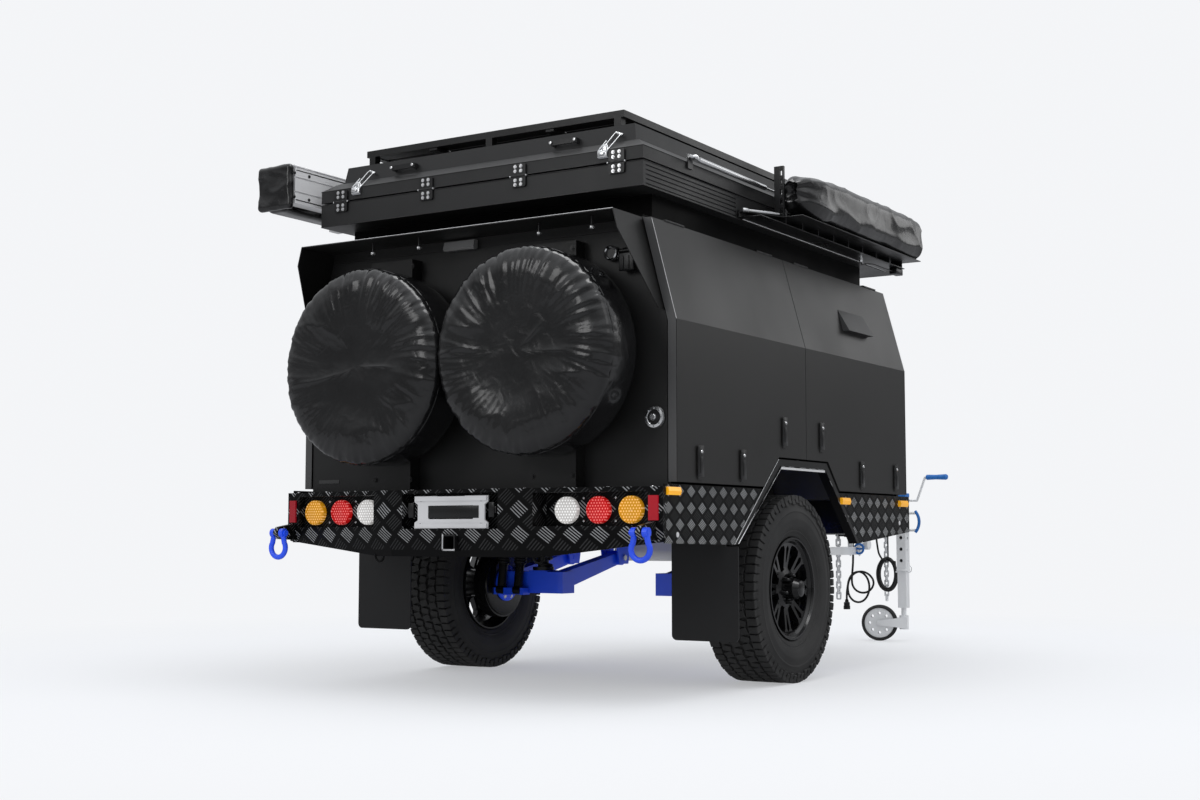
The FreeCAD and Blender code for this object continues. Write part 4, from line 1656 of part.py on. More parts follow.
def chain_link(x, y, z, turned):
    """One upright chain link as an eight-sided ring of square wire."""
    length = CHAIN_INNER / 2
    width = CHAIN_WIDTH / 2
    wire = CHAIN_WIRE

    def ring(grow):
        w, h = width + grow, length + grow
        c = (width + grow) * 0.4
        return [(w, -h + c), (w, h - c), (w - c, h), (-w + c, h), (-w, h - c), (-w, -h + c), (-w + c, -h),
                (w - c, -h)]

    link = along_y(ring(wire), -wire / 2, wire / 2).cut(along_y(ring(0.0), -wire, wire))
    if turned:
        link.rotate(Vec(0, 0, 0), Vec(0, 0, 1), 90.0)
    link.translate(Vec(x, y, z))
    return link


def safety_chains():
    """Two hanging chains, each link held in the next."""
    pitch = CHAIN_INNER - SEAT
    links = []
    for (x, y, top), count, turned in zip(CHAIN_SPOTS, CHAIN_LINKS, (True, False)):
        for index in range(count):
            links.append(chain_link(x, y, top - pitch * index, (index % 2 == 0) == turned))
    return Part.makeCompound(links)


NODES = {
    "chassis_frame": chassis_frame,
    "coupling": coupling,
    "body_shell": body_shell,
    "door_rear_right": door_rear,
    "door_front_right": lambda: door_front(True),
    "door_rear_left": lambda: flipped(door_rear()),
    "door_front_left": lambda: flipped(door_front(False)),
    "rear_hood": rear_hood,
    "spare_carriers": spare_carriers,
    "spare_covers": spare_covers,
    "rear_bar": lambda: fuse([rear_bar(), shackle_lug(), flipped(shackle_lug())]),
    "receiver": receiver,
    "rear_lamps": rear_lamps,
    "marker_lamps": marker_lamps,
    "fairlead": fairlead,
    "shackles": shackles,
    "side_skirts": side_skirts,
    "mud_flaps": mud_flaps,
    "suspension_arms": suspension_arms,
    "suspension_hangers": suspension_hangers,
    "shock_absorbers": shock_absorbers,
    "water_tank": water_tank,
    "tyre_right": road_tyre,
    "tyre_left": lambda: flipped(road_tyre()),
    "rim_right": road_rim,
    "rim_left": lambda: flipped(road_rim()),
    "tent_base": tent_base,
    "tent_mattress": tent_mattress,
    "tent_lid": tent_lid,
    "roof_rack": roof_rack,
    "tent_hinges": tent_hinges,
    "lid_fittings": lid_fittings,
    "strut_tubes": strut_tubes,
    "strut_rods": strut_rods,
    "strut_brackets": strut_brackets,
    "side_tray": side_tray,
    "side_bag": side_bag,
    "awning_case": awning_case,
    "awning_cover": awning_cover,
    "wall_fittings": wall_fittings,
    "front_toolbox": front_toolbox,
    "toolbox_lid": toolbox_lid,
    "jockey_sleeve": jockey_sleeve,
    "jockey_grips": jockey_grips,
    "jockey_leg": jockey_leg,
    "jockey_fork": jockey_fork,
    "jockey_tyre": jockey_tyre,
    "jockey_rim": jockey_rim,
    "stabiliser_right": lambda: stabiliser(1.0),
    "stabiliser_left": lambda: stabiliser(-1.0),
    "stabiliser_brackets": stabiliser_brackets,
    "safety_chains": safety_chains,
    "lead_right": lead_right,
    "lead_front": lead_front,
    "lead_coil": lead_coil,
    "lead_plug": lead_plug,
}


def main():
    """Build every piece, move it to the origin's frame and write it."""
    os.makedirs("parts", exist_ok=True)
    for name, make in NODES.items():
        shape = make()
        shape.translate(Vec(0, AXLE_Y, 0))
        solids = shape.Solids
        box_now = shape.BoundBox
        print("%-20s %2d solids %s volume %.5f m3  y %.0f %.0f  z %.0f %.0f" % (
            name, len(solids), shape.isValid(), shape.Volume / 1e9, box_now.YMin, box_now.YMax, box_now.ZMin, box_now.ZMax))
        shape.exportStep("parts/%s.step" % name)


main()
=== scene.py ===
import json
import math

import bmesh
import bpy
from mathutils import Matrix, Vector, noise


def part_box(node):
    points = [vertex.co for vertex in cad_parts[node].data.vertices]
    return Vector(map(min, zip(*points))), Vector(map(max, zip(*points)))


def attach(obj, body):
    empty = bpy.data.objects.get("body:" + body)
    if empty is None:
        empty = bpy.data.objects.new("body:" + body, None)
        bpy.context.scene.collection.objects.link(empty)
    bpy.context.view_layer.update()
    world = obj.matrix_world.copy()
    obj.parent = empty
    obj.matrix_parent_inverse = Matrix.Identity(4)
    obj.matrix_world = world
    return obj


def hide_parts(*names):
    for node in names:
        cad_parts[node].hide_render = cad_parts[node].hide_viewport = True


# Off-road camper trailer, dressed for its studio picture. Metres, +X right, +Y forward, +Z up.

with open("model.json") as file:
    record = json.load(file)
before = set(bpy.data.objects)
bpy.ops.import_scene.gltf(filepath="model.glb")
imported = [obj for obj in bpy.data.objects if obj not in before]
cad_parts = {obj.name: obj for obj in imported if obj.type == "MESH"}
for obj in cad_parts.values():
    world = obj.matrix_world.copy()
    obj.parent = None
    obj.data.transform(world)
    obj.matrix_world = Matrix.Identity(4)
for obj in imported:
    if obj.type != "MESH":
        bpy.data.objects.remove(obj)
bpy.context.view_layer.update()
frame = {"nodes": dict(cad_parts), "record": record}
NODES = frame["nodes"]

AXLE_Y = -1
TYRE_R = 0.402

# Camera
CAMERA_AT = Vector((3.8988, -7.3219, 0.6271))
CAMERA_YAW = math.radians(32.158)
CAMERA_PITCH = math.radians(4.84)
CAMERA_LENS = 48.19
SENSOR = 36

# Studio
BACKDROP = (0.905, 0.915, 0.935)
FLOOR_REACH = 60
SKY_LOW, SKY_HIGH = 0.04, 1.15
EVEN_SKY = 0.95
GLOSS_SHARE = 0.16
FLOOR_GLOW = 0.42

# Colours and patterns
REFLECTOR_RED = (0.3, 0.006, 0.014)
RED_LENS = (0.74, 0.01, 0.012)
AMBER_LENS = (0.88, 0.4, 0.012)
CLEAR_LENS = (0.86, 0.87, 0.88)
DIODE_STEP, DIODE_ROW = 0.0125, 0.866
BLACK = (0.01, 0.01, 0.0105)
DULL_BLACK = (0.05, 0.05, 0.05)
# light grey plate on the wall fittings, made lighter as painted light against the hood's shade
PLATE_GREY_WITH_PAINTED_LIGHT = (0.2, 0.2, 0.2)
# painted highlight on the doors' fore and aft faces
FLANGE_HIGHLIGHT = (0.055, 0.055, 0.056)
WALL_BLACK = (0.0055, 0.0054, 0.0052)
BAR_BLACK = (0.003, 0.003, 0.0032)
GLOSS_BLUE = (0.008, 0.078, 0.92)
SILVER = (0.62, 0.63, 0.65)
# worn bar tops with a painted highlight
WORN_AND_HIGHLIT_BAR = (0.62, 0.63, 0.64)
BAR_MARGIN = 0.12
TREAD_FROM_Z = 0.572
# painted shade on the body shell above this height
RISER_FROM_Z = 1.857
RING_PITCH = 0.0042
MERGE = 0.00001

SOCKETS = {"colour": "Base Color", "roughness": "Roughness", "metallic": "Metallic", "coat": "Coat Weight",
           "specular": "Specular IOR Level", "glow_colour": "Emission Color", "glow": "Emission Strength"}


# Shader helpers

class Shader:
    """A node tree in the making, with short forms for what the looks need."""

    def __init__(self, tree):
        self.tree = tree

    def node(self, kind, **settings):
        """A new node with some of its settings."""
        made = self.tree.nodes.new("ShaderNode" + kind)
        for key, value in settings.items():
            setattr(made, key, value)
        return made

    def feed(self, socket, value):
        """Give a socket a link, a colour or a number."""
        if isinstance(value, bpy.types.NodeSocket):
            self.tree.links.new(value, socket)
        else:
            socket.default_value = (*value, 1) if isinstance(value, tuple) else value

    def result(self, kind, inputs, output=0, **settings):
        """One output of a new node whose inputs are fed."""
        made = self.node(kind, **settings)
        for key, value in inputs.items():
            self.feed(made.inputs[key], value)
        return made.outputs[output]

    def calc(self, operation, *values):
        """One Math node's result."""
        return self.result("Math", dict(enumerate(values)), operation=operation)

    def plus(self, first, second):
        """The sum of two values."""
        return self.calc("ADD", first, second)

    def minus(self, first, second):
        """The difference of two values."""
        return self.calc("SUBTRACT", first, second)

    def times(self, first, second):
        """The product of two values."""
        return self.calc("MULTIPLY", first, second)

    def over(self, value, limit):
        """1 where a value is above a limit."""
        return self.calc("GREATER_THAN", value, limit)

    def size(self, value):
        """A value without its sign."""
        return self.calc("ABSOLUTE", value)

    def off_middle(self, value):
        """How far a part of a cell is from the cell's middle."""
        return self.size(self.minus(value, 0.5))

    def span(self, first, second):
        """The length of two values at right angles."""
        return self.calc("SQRT", self.plus(self.times(first, first), self.times(second, second)))

    def blend(self, share, low, high):
        """A number between low and high."""
        return self.result("Mix", {0: share, 2: low, 3: high}, data_type="FLOAT")

    def tint(self, share, low, high, mode="MIX"):
        """A colour between low and high."""
        return self.result("Mix", {0: share, 6: low, 7: high}, 2, data_type="RGBA", blend_type=mode)

    def spread(self, value, low, high, to_low, to_high):
        """Map a value's range to another, held at both ends."""
        inputs = {"Value": value, "From Min": low, "From Max": high, "To Min": to_low, "To Max": to_high}
        return self.result("MapRange", inputs, "Result", clamp=True)

    def axes(self, vector):
        """A vector's three numbers."""
        made = self.node("SeparateXYZ")
        self.feed(made.inputs[0], vector)
        return made.outputs[:]

    def group(self, name, **values):
        """The outputs of one of the groups."""
        made = self.node("Group", node_tree=GROUPS[name])
        for key, value in values.items():
            self.feed(made.inputs[key], value)
        return made.outputs


class Finish(Shader):
    """A new material with its shader, its object coordinates and, given a grain, its coat texture."""

    def __init__(self, name, grain=None, drift=None):
        self.material = bpy.data.materials.new(name)
        self.material.use_nodes = True
        super().__init__(self.material.node_tree)
        self.shader = self.tree.nodes["Principled BSDF"]
        self.place = self.node("TexCoord").outputs["Object"]
        if grain:
            texture = self.group("coat_texture", Place=self.place, Grain=grain, Drift=drift)
            self.height, self.cloud = texture["Height"], texture["Cloud"]

    def set(self, **values):
        """Feed some of the shader's inputs."""
        for key, value in values.items():
            self.feed(self.shader.inputs[SOCKETS[key]], value)

    def colour(self):
        """The colour that the shader has so far."""
        return self.shader.inputs["Base Color"].links[0].from_socket

    def normal(self):
        """The face's direction as three numbers."""
        return self.axes(self.node("NewGeometry").outputs["Normal"])

    def sheen(self, low, high):
        """A roughness that drifts slowly between two values."""
        return self.spread(self.cloud, 0, 1, low, high)

    def bump(self, height, strength, distance):
        """Send a height to the shader's normal."""
        inputs = {"Strength": strength, "Distance": distance, "Height": height}
        self.feed(self.shader.inputs["Normal"], self.result("Bump", inputs, "Normal"))


def new_group(name, inputs, outputs):
    """An empty node group with named inputs and outputs, numbers all but the place."""
    tree = bpy.data.node_groups.new(name, "ShaderNodeTree")
    for way, titles in (("INPUT", inputs), ("OUTPUT", outputs)):
        for title in titles:
            kind = "NodeSocketVector" if title == "Place" else "NodeSocketFloat"
            tree.interface.new_socket(name=title, in_out=way, socket_type=kind)
    return Shader(tree), tree.nodes.new("NodeGroupInput").outputs, tree.nodes.new("NodeGroupOutput").inputs


def speckle_group():
    """Powder-coat texture: fine grain for the height and a slow drift for the sheen."""
    group, into, out = new_group("coat_texture", ("Place", "Grain", "Drift"), ("Height", "Cloud"))
    grain = {"Vector": into["Place"], "Scale": into["Grain"], "Detail": 3}
    drift = {"Vector": into["Place"], "Scale": into["Drift"], "Detail": 4}
    slow = group.result("TexNoise", drift, "Fac")
    group.feed(out["Height"], group.result("TexNoise", grain, "Fac"))
    group.feed(out["Cloud"], group.spread(slow, 0.3, 0.7, 0, 1))
    return group.tree


def tread_group():
    """Five-bar tread plate: squares turned by 45 degrees, with bars that run one way or the other."""
    group, into, out = new_group("tread_bars", ("Across", "Up", "Cell"), ("Bar", "Way"))
    across, up, cell = (into[key] for key in ("Across", "Up", "Cell"))
    p = group.calc("DIVIDE", group.plus(across, up), cell)
    q = group.calc("DIVIDE", group.minus(across, up), cell)
    odd = group.calc("FLOORED_MODULO", group.plus(group.calc("FLOOR", p), group.calc("FLOOR", q)), 2)
    part_p, part_q = group.calc("FRACT", p), group.calc("FRACT", q)
    run = group.blend(odd, part_p, part_q)
    stack = group.blend(odd, part_q, part_p)
    rows = group.times(group.minus(stack, BAR_MARGIN), 5 / (1 - 2 * BAR_MARGIN))
    ridge = group.spread(group.off_middle(group.calc("FRACT", rows)), 0.08, 0.27, 1, 0)
    inside = group.calc("LESS_THAN", group.off_middle(stack), 0.5 - BAR_MARGIN)
    length = group.times(group.spread(group.off_middle(run), 0.34, 0.4, 1, 0), inside)
    group.feed(out["Bar"], group.times(ridge, length))
    group.feed(out["Way"], odd)
    return group.tree


GROUPS = {"coat_texture": speckle_group(), "tread_bars": tread_group()}


def coated(name, colour, roughness, grain=900, depth=0.0002, metallic=0, coat=0, shade=0.25, drift_by=0.08):
    """A sprayed, moulded or rolled finish: fine grain, slow change of sheen and colour."""
    look = Finish(name, grain, 3)
    dark = tuple(c * (1 - shade) for c in colour)
    light = tuple(min(1, c * (1 + shade)) for c in colour)
    look.set(colour=look.tint(look.cloud, dark, light), metallic=metallic, coat=coat,
             roughness=look.sheen(roughness - drift_by, roughness + drift_by))
    look.bump(look.height, 0.6, depth)
    return look


def tread_plate(name, colour, roughness, cells, lit_ways, flatness, outer_faces=False):
    """Black tread plate whose bar tops are bright from wear and a painted highlight; the pattern lies flat on
    each face.
    """
    look = Finish(name, 700, 6)
    x, y, z = look.axes(look.place)
    normal = look.normal()
    sideways = look.over(look.size(normal[0]), 0.5)
    level = look.over(look.size(normal[2]), 0.7)
    pattern = look.group("tread_bars", Across=look.blend(sideways, x, y),
                         Up=look.times(look.blend(level, z, y), flatness),
                         Cell=look.blend(look.over(y, AXLE_Y), *cells))
    bars = look.times(pattern["Bar"], sideways if outer_faces else look.over(z, TREAD_FROM_Z))
    # painted highlight: lit_ways brightens the bars of one direction more than the other, as the light falls
    # on them
    lit = look.times(look.blend(pattern["Way"], *lit_ways), look.spread(look.cloud, 0, 1, 0.55, 1))
    shine = look.times(bars, lit)
    look.set(colour=look.tint(shine, colour, WORN_AND_HIGHLIT_BAR), roughness=look.blend(shine, roughness, 0.28),
             metallic=look.times(shine, 0.3), specular=0.12)
    look.bump(look.plus(bars, look.times(look.height, 0.06)), 1, 0.0016)
    return look


def banded(name, base, bands, roughness, metallic_on=0, depth=0.0002, coat=0, glow=0):
    """A finish with other colours between planes: (axis, low, high, colour, both sides alike)."""
    look = Finish(name, 300, 4)
    spot = look.axes(look.place)
    colour, metal = base, 0
    for axis, low, high, tint, folded in bands:
        value = look.size(spot[axis]) if folded else spot[axis]
        inside = look.times(look.over(value, low), look.calc("LESS_THAN", value, high))
        colour = look.tint(inside, colour, tint)
        metal = look.calc("MAXIMUM", metal, inside)
    shade = look.tint(look.times(look.cloud, 0.25), colour, (0, 0, 0))
    look.set(colour=shade, roughness=look.sheen(roughness - 0.05, roughness + 0.05), coat=coat)
    if metallic_on:
        look.set(metallic=look.times(metal, metallic_on))
    # painted light: the glow brightens a lens as more light falling on it would
    if glow:
        look.set(glow_colour=shade, glow=glow)
    look.bump(look.height, 0.5, depth)
    return look


def lamp_look():
    """Rear lamps: a lens of amber, red or clear plastic with a grid of diodes; a painted highlight brightens
    the diodes and a painted glow the whole lens.
    """
    bands = (0, 0, 0.569, CLEAR_LENS, True), (0, 0.7135, 1.2, AMBER_LENS, True)
    # painted light: the lens glow stands in for light falling on the lens
    look = banded("lamp_lens", RED_LENS, bands, 0.16, coat=0.15, glow=0.62)
    x, _, z = look.axes(look.place)
    across = look.times(look.size(x), 1 / DIODE_STEP)
    up = look.times(z, 1 / (DIODE_STEP * DIODE_ROW))
    row = look.times(look.calc("FLOORED_MODULO", look.calc("FLOOR", up), 2), 0.5)
    u = look.minus(look.calc("FRACT", look.plus(across, row)), 0.5)
    v = look.times(look.minus(look.calc("FRACT", up), 0.5), DIODE_ROW)
    dot = look.spread(look.span(u, v), 0.16, 0.3, 1, 0)
    dim = look.tint(dot, (0.56, 0.54, 0.52), (1, 1, 1))
    shade = look.tint(1, look.colour(), dim, "MULTIPLY")
    # painted highlight: a warm white lift on each diode dot
    lens = look.tint(look.times(dot, 0.16), shade, (1, 0.93, 0.85))
    look.set(colour=lens, glow_colour=lens)
    return look


def shell_look():
    """Powder coat of the fixed body, with painted deep shade on the riser under the tent."""
    look = coated("shell_powder_coat", (0.0078, 0.0078, 0.0078), 0.46, grain=1100)
    # painted shade: above this height the colour goes near black and the specular drops, standing in for the
    # tent's shadow
    riser = look.over(look.axes(look.place)[2], RISER_FROM_Z)
    look.set(colour=look.tint(riser, look.colour(), (0.0012, 0.0012, 0.0012)),
             specular=look.blend(riser, 0.5, 0.05))
    return look


def tyre_look():
    """Tyre rubber with fine moulded rings on the sidewall."""
    look = Finish("tyre_rubber", 240, 5)
    _, y, z = look.axes(look.place)
    radius = look.span(look.minus(y, AXLE_Y), look.minus(z, TYRE_R))
    wave = look.calc("SINE", look.times(radius, 2 * math.pi / RING_PITCH))
    ring = look.times(look.spread(radius, 0.232, 0.238, 0, 1), look.spread(radius, 0.262, 0.268, 1, 0))
    look.set(colour=look.tint(look.cloud, (0.014, 0.014, 0.0143), (0.026, 0.0255, 0.025)), roughness=0.72)
    look.bump(look.plus(look.times(wave, ring), look.times(look.height, 0.5)), 0.8, 0.0006)
    return look


def wrinkled(name, colour, roughness, scale, depth, coat=0, weave=0):
    """Coated cloth or vinyl: soft slack waves over a fine grain."""
    look = Finish(name, 900, 5)
    waves = {"Scale": scale, "Detail": 1.5, "Distortion": 0.8, "Vector": look.place}
    light = tuple(min(1, c * 1.5) for c in colour)
    look.set(colour=look.tint(look.cloud, colour, light), coat=coat,
             roughness=look.sheen(roughness - 0.04, roughness + 0.06))
    height = look.plus(look.result("TexNoise", waves, "Fac"), look.times(look.height, 0.02 + weave))
    look.bump(height, 0.6, depth)
    return look


def door_look():
    """Matt powder coat on the doors; the turned rear flange and other fore-and-aft faces show a painted
    highlight of lighter grey.
    """
    look = Finish("door_powder_coat", 650, 2)
    # painted highlight: faces pointing fore or aft are lightened for the light they catch
    edge = look.over(look.size(look.normal()[1]), 0.9)
    coat = look.tint(look.cloud, (0.0058, 0.0056, 0.0052), (0.0085, 0.0082, 0.0077))
    look.set(colour=look.tint(edge, coat, FLANGE_HIGHLIGHT), roughness=look.sheen(0.38, 0.47), specular=0.62)
    look.bump(look.height, 0.6, 0.0003)
    return look


FINISHES = {
    "body_paint": coated("wall_powder_coat", WALL_BLACK, 0.42, grain=600, depth=0.0004, shade=0.2),
    "frame_paint": coated("frame_satin_black", (0.0055, 0.0055, 0.0058), 0.33),
    "bar_paint": tread_plate("black_tread_plate", BAR_BLACK, 0.34, (0.112, 0.112), (0.06, 0.66), 1.15),
    "blue_paint": coated("blue_gloss", GLOSS_BLUE, 0.4, grain=300, depth=0.0001, coat=0.4, shade=0.2),
    "cover_vinyl": wrinkled("black_vinyl", (0.005, 0.005, 0.0053), 0.2, 17, 0.0045, coat=0.3),
    "lamp_plastic": lamp_look(),
    "bare_alloy": coated("mill_alloy", (0.7, 0.7, 0.71), 0.38, grain=500, metallic=0.3, shade=0.08),
    "flap_rubber": coated("flap_rubber", (0.0075, 0.0075, 0.008), 0.48, grain=400, depth=0.0003),
    "stainless": coated("stainless", (0.8, 0.8, 0.81), 0.24, grain=600, metallic=0.85, shade=0.06),
    "tyre_rubber": tyre_look(),
    "rim_paint": coated("rim_gloss_black", (0.003, 0.003, 0.0033), 0.25, grain=700, coat=0.2),
    "shell_plastic": coated("tent_shell_grain", (0.0085, 0.0085, 0.0088), 0.4, grain=520, depth=0.0006),
    "tent_fabric": wrinkled("tent_canvas", (0.27, 0.25, 0.2), 0.85, 9, 0.002, weave=0.3),
    "chromed": coated("chromed_rod", (0.86, 0.87, 0.88), 0.2, metallic=1, shade=0.05, drift_by=0.03),
    "bag_fabric": wrinkled("bag_cloth", (0.0045, 0.0045, 0.0048), 0.24, 12, 0.005, coat=0.2, weave=0.02),
    "trim_plastic": coated("trim_plastic", (0.006, 0.006, 0.0063), 0.3),
    "galvanised": coated("galvanised_steel", (0.8, 0.81, 0.82), 0.34, grain=140, metallic=0.3, shade=0.12),
    "blue_plastic": coated("blue_grip", (0.016, 0.14, 0.46), 0.42, grain=420, depth=0.0008),
    "white_plastic": coated("white_plastic", (0.66, 0.67, 0.68), 0.34, grain=500, shade=0.06),
    "cable_rubber": coated("cable_rubber", (0.009, 0.009, 0.009), 0.4),
}
REFLECTOR_BAND = (1, -4, -2.15, REFLECTOR_RED, False),
FITTING_BANDS = (0, -0.635, -0.589, SILVER, False), (0, 0.617, 0.663, SILVER, False)
# the band from x -0.17 to 0 is the light grey plate, lifted by painted light to show through the hood's shade
WALL_BANDS = (0, 0.62, 0.68, SILVER, False), (0, -0.86, -0.73, DULL_BLACK, False), (0, -0.17, 0, PLATE_GREY_WITH_PAINTED_LIGHT, False)
NODE_LOOKS = {
    "side_skirts": tread_plate("skirt_tread_plate", (0.0026, 0.0026, 0.0028), 0.34, (0.088, 0.094), (0.03, 1),
                               1.38, True),
    # painted light: the marker lens's glow lifts it as more light falling on it would
    "marker_lamps": banded("marker_lens", AMBER_LENS, REFLECTOR_BAND, 0.2, coat=0.15, depth=0.001, glow=0.42),
    "lid_fittings": banded("lid_fitting_metal", BLACK, FITTING_BANDS, 0.28, metallic_on=1),
    "wall_fittings": banded("wall_fitting_plastic", BLACK, WALL_BANDS, 0.3),
    "body_shell": shell_look(), "water_tank": FINISHES["bare_alloy"],
}
FRAME_NODES = "side_tray", "roof_rack", "receiver", "tent_hinges"
NODE_LOOKS.update(dict.fromkeys(FRAME_NODES, FINISHES["frame_paint"]))
DOOR_NODES = "door_rear_right", "door_front_right", "door_rear_left", "door_front_left"
NODE_LOOKS.update(dict.fromkeys(DOOR_NODES, door_look()))
for part in frame["record"]["subparts"]:
    mesh = NODES[part["node"]].data
    mesh.materials.clear()
    mesh.materials.append(NODE_LOOKS.get(part["node"], FINISHES[part["material_slot"]]).material)

LOOKS = {slot: (slot, look.material) for slot, look in FINISHES.items()}


# Shape helpers

def at(x, y, z):
    """A place given in millimetres from the wheels' axle line."""
    return Vector((x / 1000, y / 1000 + AXLE_Y, z / 1000))


def placed(name, data):
    """A new object in the scene."""
    made = bpy.data.objects.new(name, data)
    bpy.context.scene.collection.objects.link(made)
    return made


def keep(name, bm, body, look, smooth=38, stands_for=()):
    """Turn a finished mesh into a piece that rides on a body."""
    slot, finish = look
    bmesh.ops.remove_doubles(bm, verts=bm.verts, dist=MERGE)
    bmesh.ops.recalc_face_normals(bm, faces=bm.faces)
    for face in bm.faces:
        face.smooth = True
    mesh = bpy.data.meshes.new(name)
    bm.to_mesh(mesh)
    bm.free()
    mesh.set_sharp_from_angle(angle=math.radians(smooth))
    mesh.materials.append(finish)
    made = placed(name, mesh)
    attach(made, body)
    if stands_for:
        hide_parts(*stands_for)
    return made


def facing(axis):
    """A turn that points the local Z axis along a direction."""
    return Vector(axis).to_track_quat("Z", "Y").to_matrix().to_4x4()


def add_cone(bm, start, end, radius, tip=None, sides=20):
    """A capped cylinder or cone between two points."""
    line = end - start
    matrix = Matrix.Translation((start + end) / 2) @ facing(line)
    end_radius = radius if tip is None else tip
    bmesh.ops.create_cone(bm, cap_ends=True, segments=sides, radius1=radius, radius2=end_radius,
                          depth=line.length, matrix=matrix)


def add_block(bm, low, high, bevel=0, segments=2):
    """A box between two corners, with rounded edges."""
    middle, size = (low + high) / 2, high - low
    matrix = Matrix.Translation(middle) @ Matrix.Diagonal((*size, 1))
    made = bmesh.ops.create_cube(bm, size=1, matrix=matrix)["verts"]
    if bevel:
        edges = list({edge for vert in made for edge in vert.link_edges})
        bmesh.ops.bevel(bm, geom=edges, offset=bevel, offset_type="OFFSET", segments=segments, profile=0.5,
                        affect="EDGES", material=-1)


def add_turned(bm, profile, spot, axis, steps=24):
    """A revolved outline: (radius, distance along the axis) points in metres."""
    matrix = Matrix.Translation(spot) @ facing(axis)
    verts = [bm.verts.new(matrix @ Vector((r, 0, d))) for r, d in profile]
    edges = [bm.edges.new(pair) for pair in zip(verts, verts[1:])]
    bmesh.ops.spin(bm, geom=verts + edges, cent=spot, axis=Vector(axis).normalized(), dvec=(0, 0, 0),
                   angle=2 * math.pi, steps=steps, use_merge=True)


def add_bolt(bm, spot, axis, radius=0.007, height=0.005):
    """A hexagon bolt head on a washer."""
    axis = Vector(axis).normalized()
    add_cone(bm, spot - axis * 0.001, spot + axis * 0.0015, radius * 1.45, sides=18)
    add_cone(bm, spot + axis * 0.001, spot + axis * height, radius, radius * 0.94, sides=6)


def add_screw(bm, spot, axis, radius=0.006):
    """A low round screw head with a socket."""
    profile = [(0, 0.0016), (radius * 0.45, 0.0016), (radius * 0.45, 0.003), (radius * 0.8, 0.0028),
               (radius, 0.0012), (radius, -0.001)]
    add_turned(bm, profile, spot, axis, 12)


def bolts(name, body, look, spots, axis, radius=0.007, height=0.005):
    """A set of bolt heads on one body that all face the same way."""
    bm = bmesh.new()
    for spot in spots:
        add_bolt(bm, spot, axis, radius, height)
    return keep(name, bm, body, look)


def screws(name, body, look, spots, axis, radius=0.006):
    """A set of round screw heads on one body that all face the same way."""
    bm = bmesh.new()
    for spot in spots:
        add_screw(bm, spot, axis, radius)
    return keep(name, bm, body, look)


def thicken(bm, faces, move):
    """Give flat faces a thickness."""
    made = bmesh.ops.extrude_face_region(bm, geom=faces)["geom"]
    verts = [item for item in made if isinstance(item, bmesh.types.BMVert)]
    bmesh.ops.translate(bm, verts=verts, vec=move)


def new_curve(name, finish, radius, rounds):
    """An empty curve of round section."""
    curve = bpy.data.curves.new(name, "CURVE")
    curve.dimensions = "3D"
    curve.bevel_depth = radius
    curve.bevel_resolution = rounds
    curve.use_fill_caps = True
    curve.materials.append(finish)
    return curve


def pipe(name, body, look, routes, radius, cyclic=False, rounds=3):
    """Round wires or beads along routes of points."""
    slot, finish = look
    curve = new_curve(name, finish, radius, rounds)
    for route in routes:
        line = curve.splines.new("POLY")
        line.points.add(len(route) - 1)
        for point, spot in zip(line.points, route):
            point.co = (*spot, 1)
        line.use_cyclic_u = cyclic
    made = placed(name, curve)
    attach(made, body)
    return made


def rounded(points, radius, steps=5):
    """A route whose corners are rounded by short arcs."""
    route = [points[0]]
    for before, here, after in zip(points, points[1:], points[2:]):
        into, away = (here - before).normalized(), (after - here).normalized()
        reach = min(radius, (here - before).length * 0.45, (after - here).length * 0.45)
        start, end = here - into * reach, here + away * reach
        for i in range(steps + 1):
            t = i / steps
            route.append(start * (1 - t) ** 2 + here * 2 * t * (1 - t) + end * t * t)
    return route + [points[-1]]


def soft_block(low, high, radius, cuts):
    """A box cut into many faces whose edges and corners are rounded by the radius."""
    bm = bmesh.new()
    size = high - low
    matrix = Matrix.Translation((low + high) / 2) @ Matrix.Diagonal((*size, 1))
    bmesh.ops.create_cube(bm, size=1, matrix=matrix)
    for axis, count in enumerate(cuts):
        normal = Vector((0, 0, 0))
        normal[axis] = 1
        for i in range(1, count):
            spot = low.copy()
            eased = 0.5 - 0.5 * math.cos(math.pi * i / count)
            spot[axis] += size[axis] * eased * 0.6 + size[axis] * i / count * 0.4
            everything = bm.verts[:] + bm.edges[:] + bm.faces[:]
            bmesh.ops.bisect_plane(bm, geom=everything, plane_co=spot, plane_no=normal)
    for vert in bm.verts:
        core = Vector([min(max(vert.co[i], low[i] + radius), high[i] - radius) for i in range(3)])
        out = vert.co - core
        if out.length > 1e-6:
            vert.co = core + out.normalized() * radius
    return bm


def creased(spot, scale, stretch=(1, 1, 1)):
    """Ridged noise from 0 to 1, sharp at the creases."""
    place = Vector([spot[i] * scale * stretch[i] for i in range(3)])
    return 1 - abs(noise.noise(place)) * 2


def push(bm, amount):
    """Move every point along its normal by a function of its place and normal."""
    bmesh.ops.recalc_face_normals(bm, faces=bm.faces)
    bm.normal_update()
    moves = [(vert, vert.normal * amount(vert.co, vert.normal)) for vert in bm.verts]
    for vert, move in moves:
        vert.co += move


# Camera first, then the leads

def studio_camera():
    """The camera at the picture's place and angle."""
    lens = bpy.data.cameras.new("camera")
    lens.lens = CAMERA_LENS
    lens.sensor_width = SENSOR
    made = placed("camera", lens)
    made.location = CAMERA_AT
    made.rotation_euler = (math.pi / 2 + CAMERA_PITCH, 0, CAMERA_YAW)
    bpy.context.scene.camera = made


studio_camera()

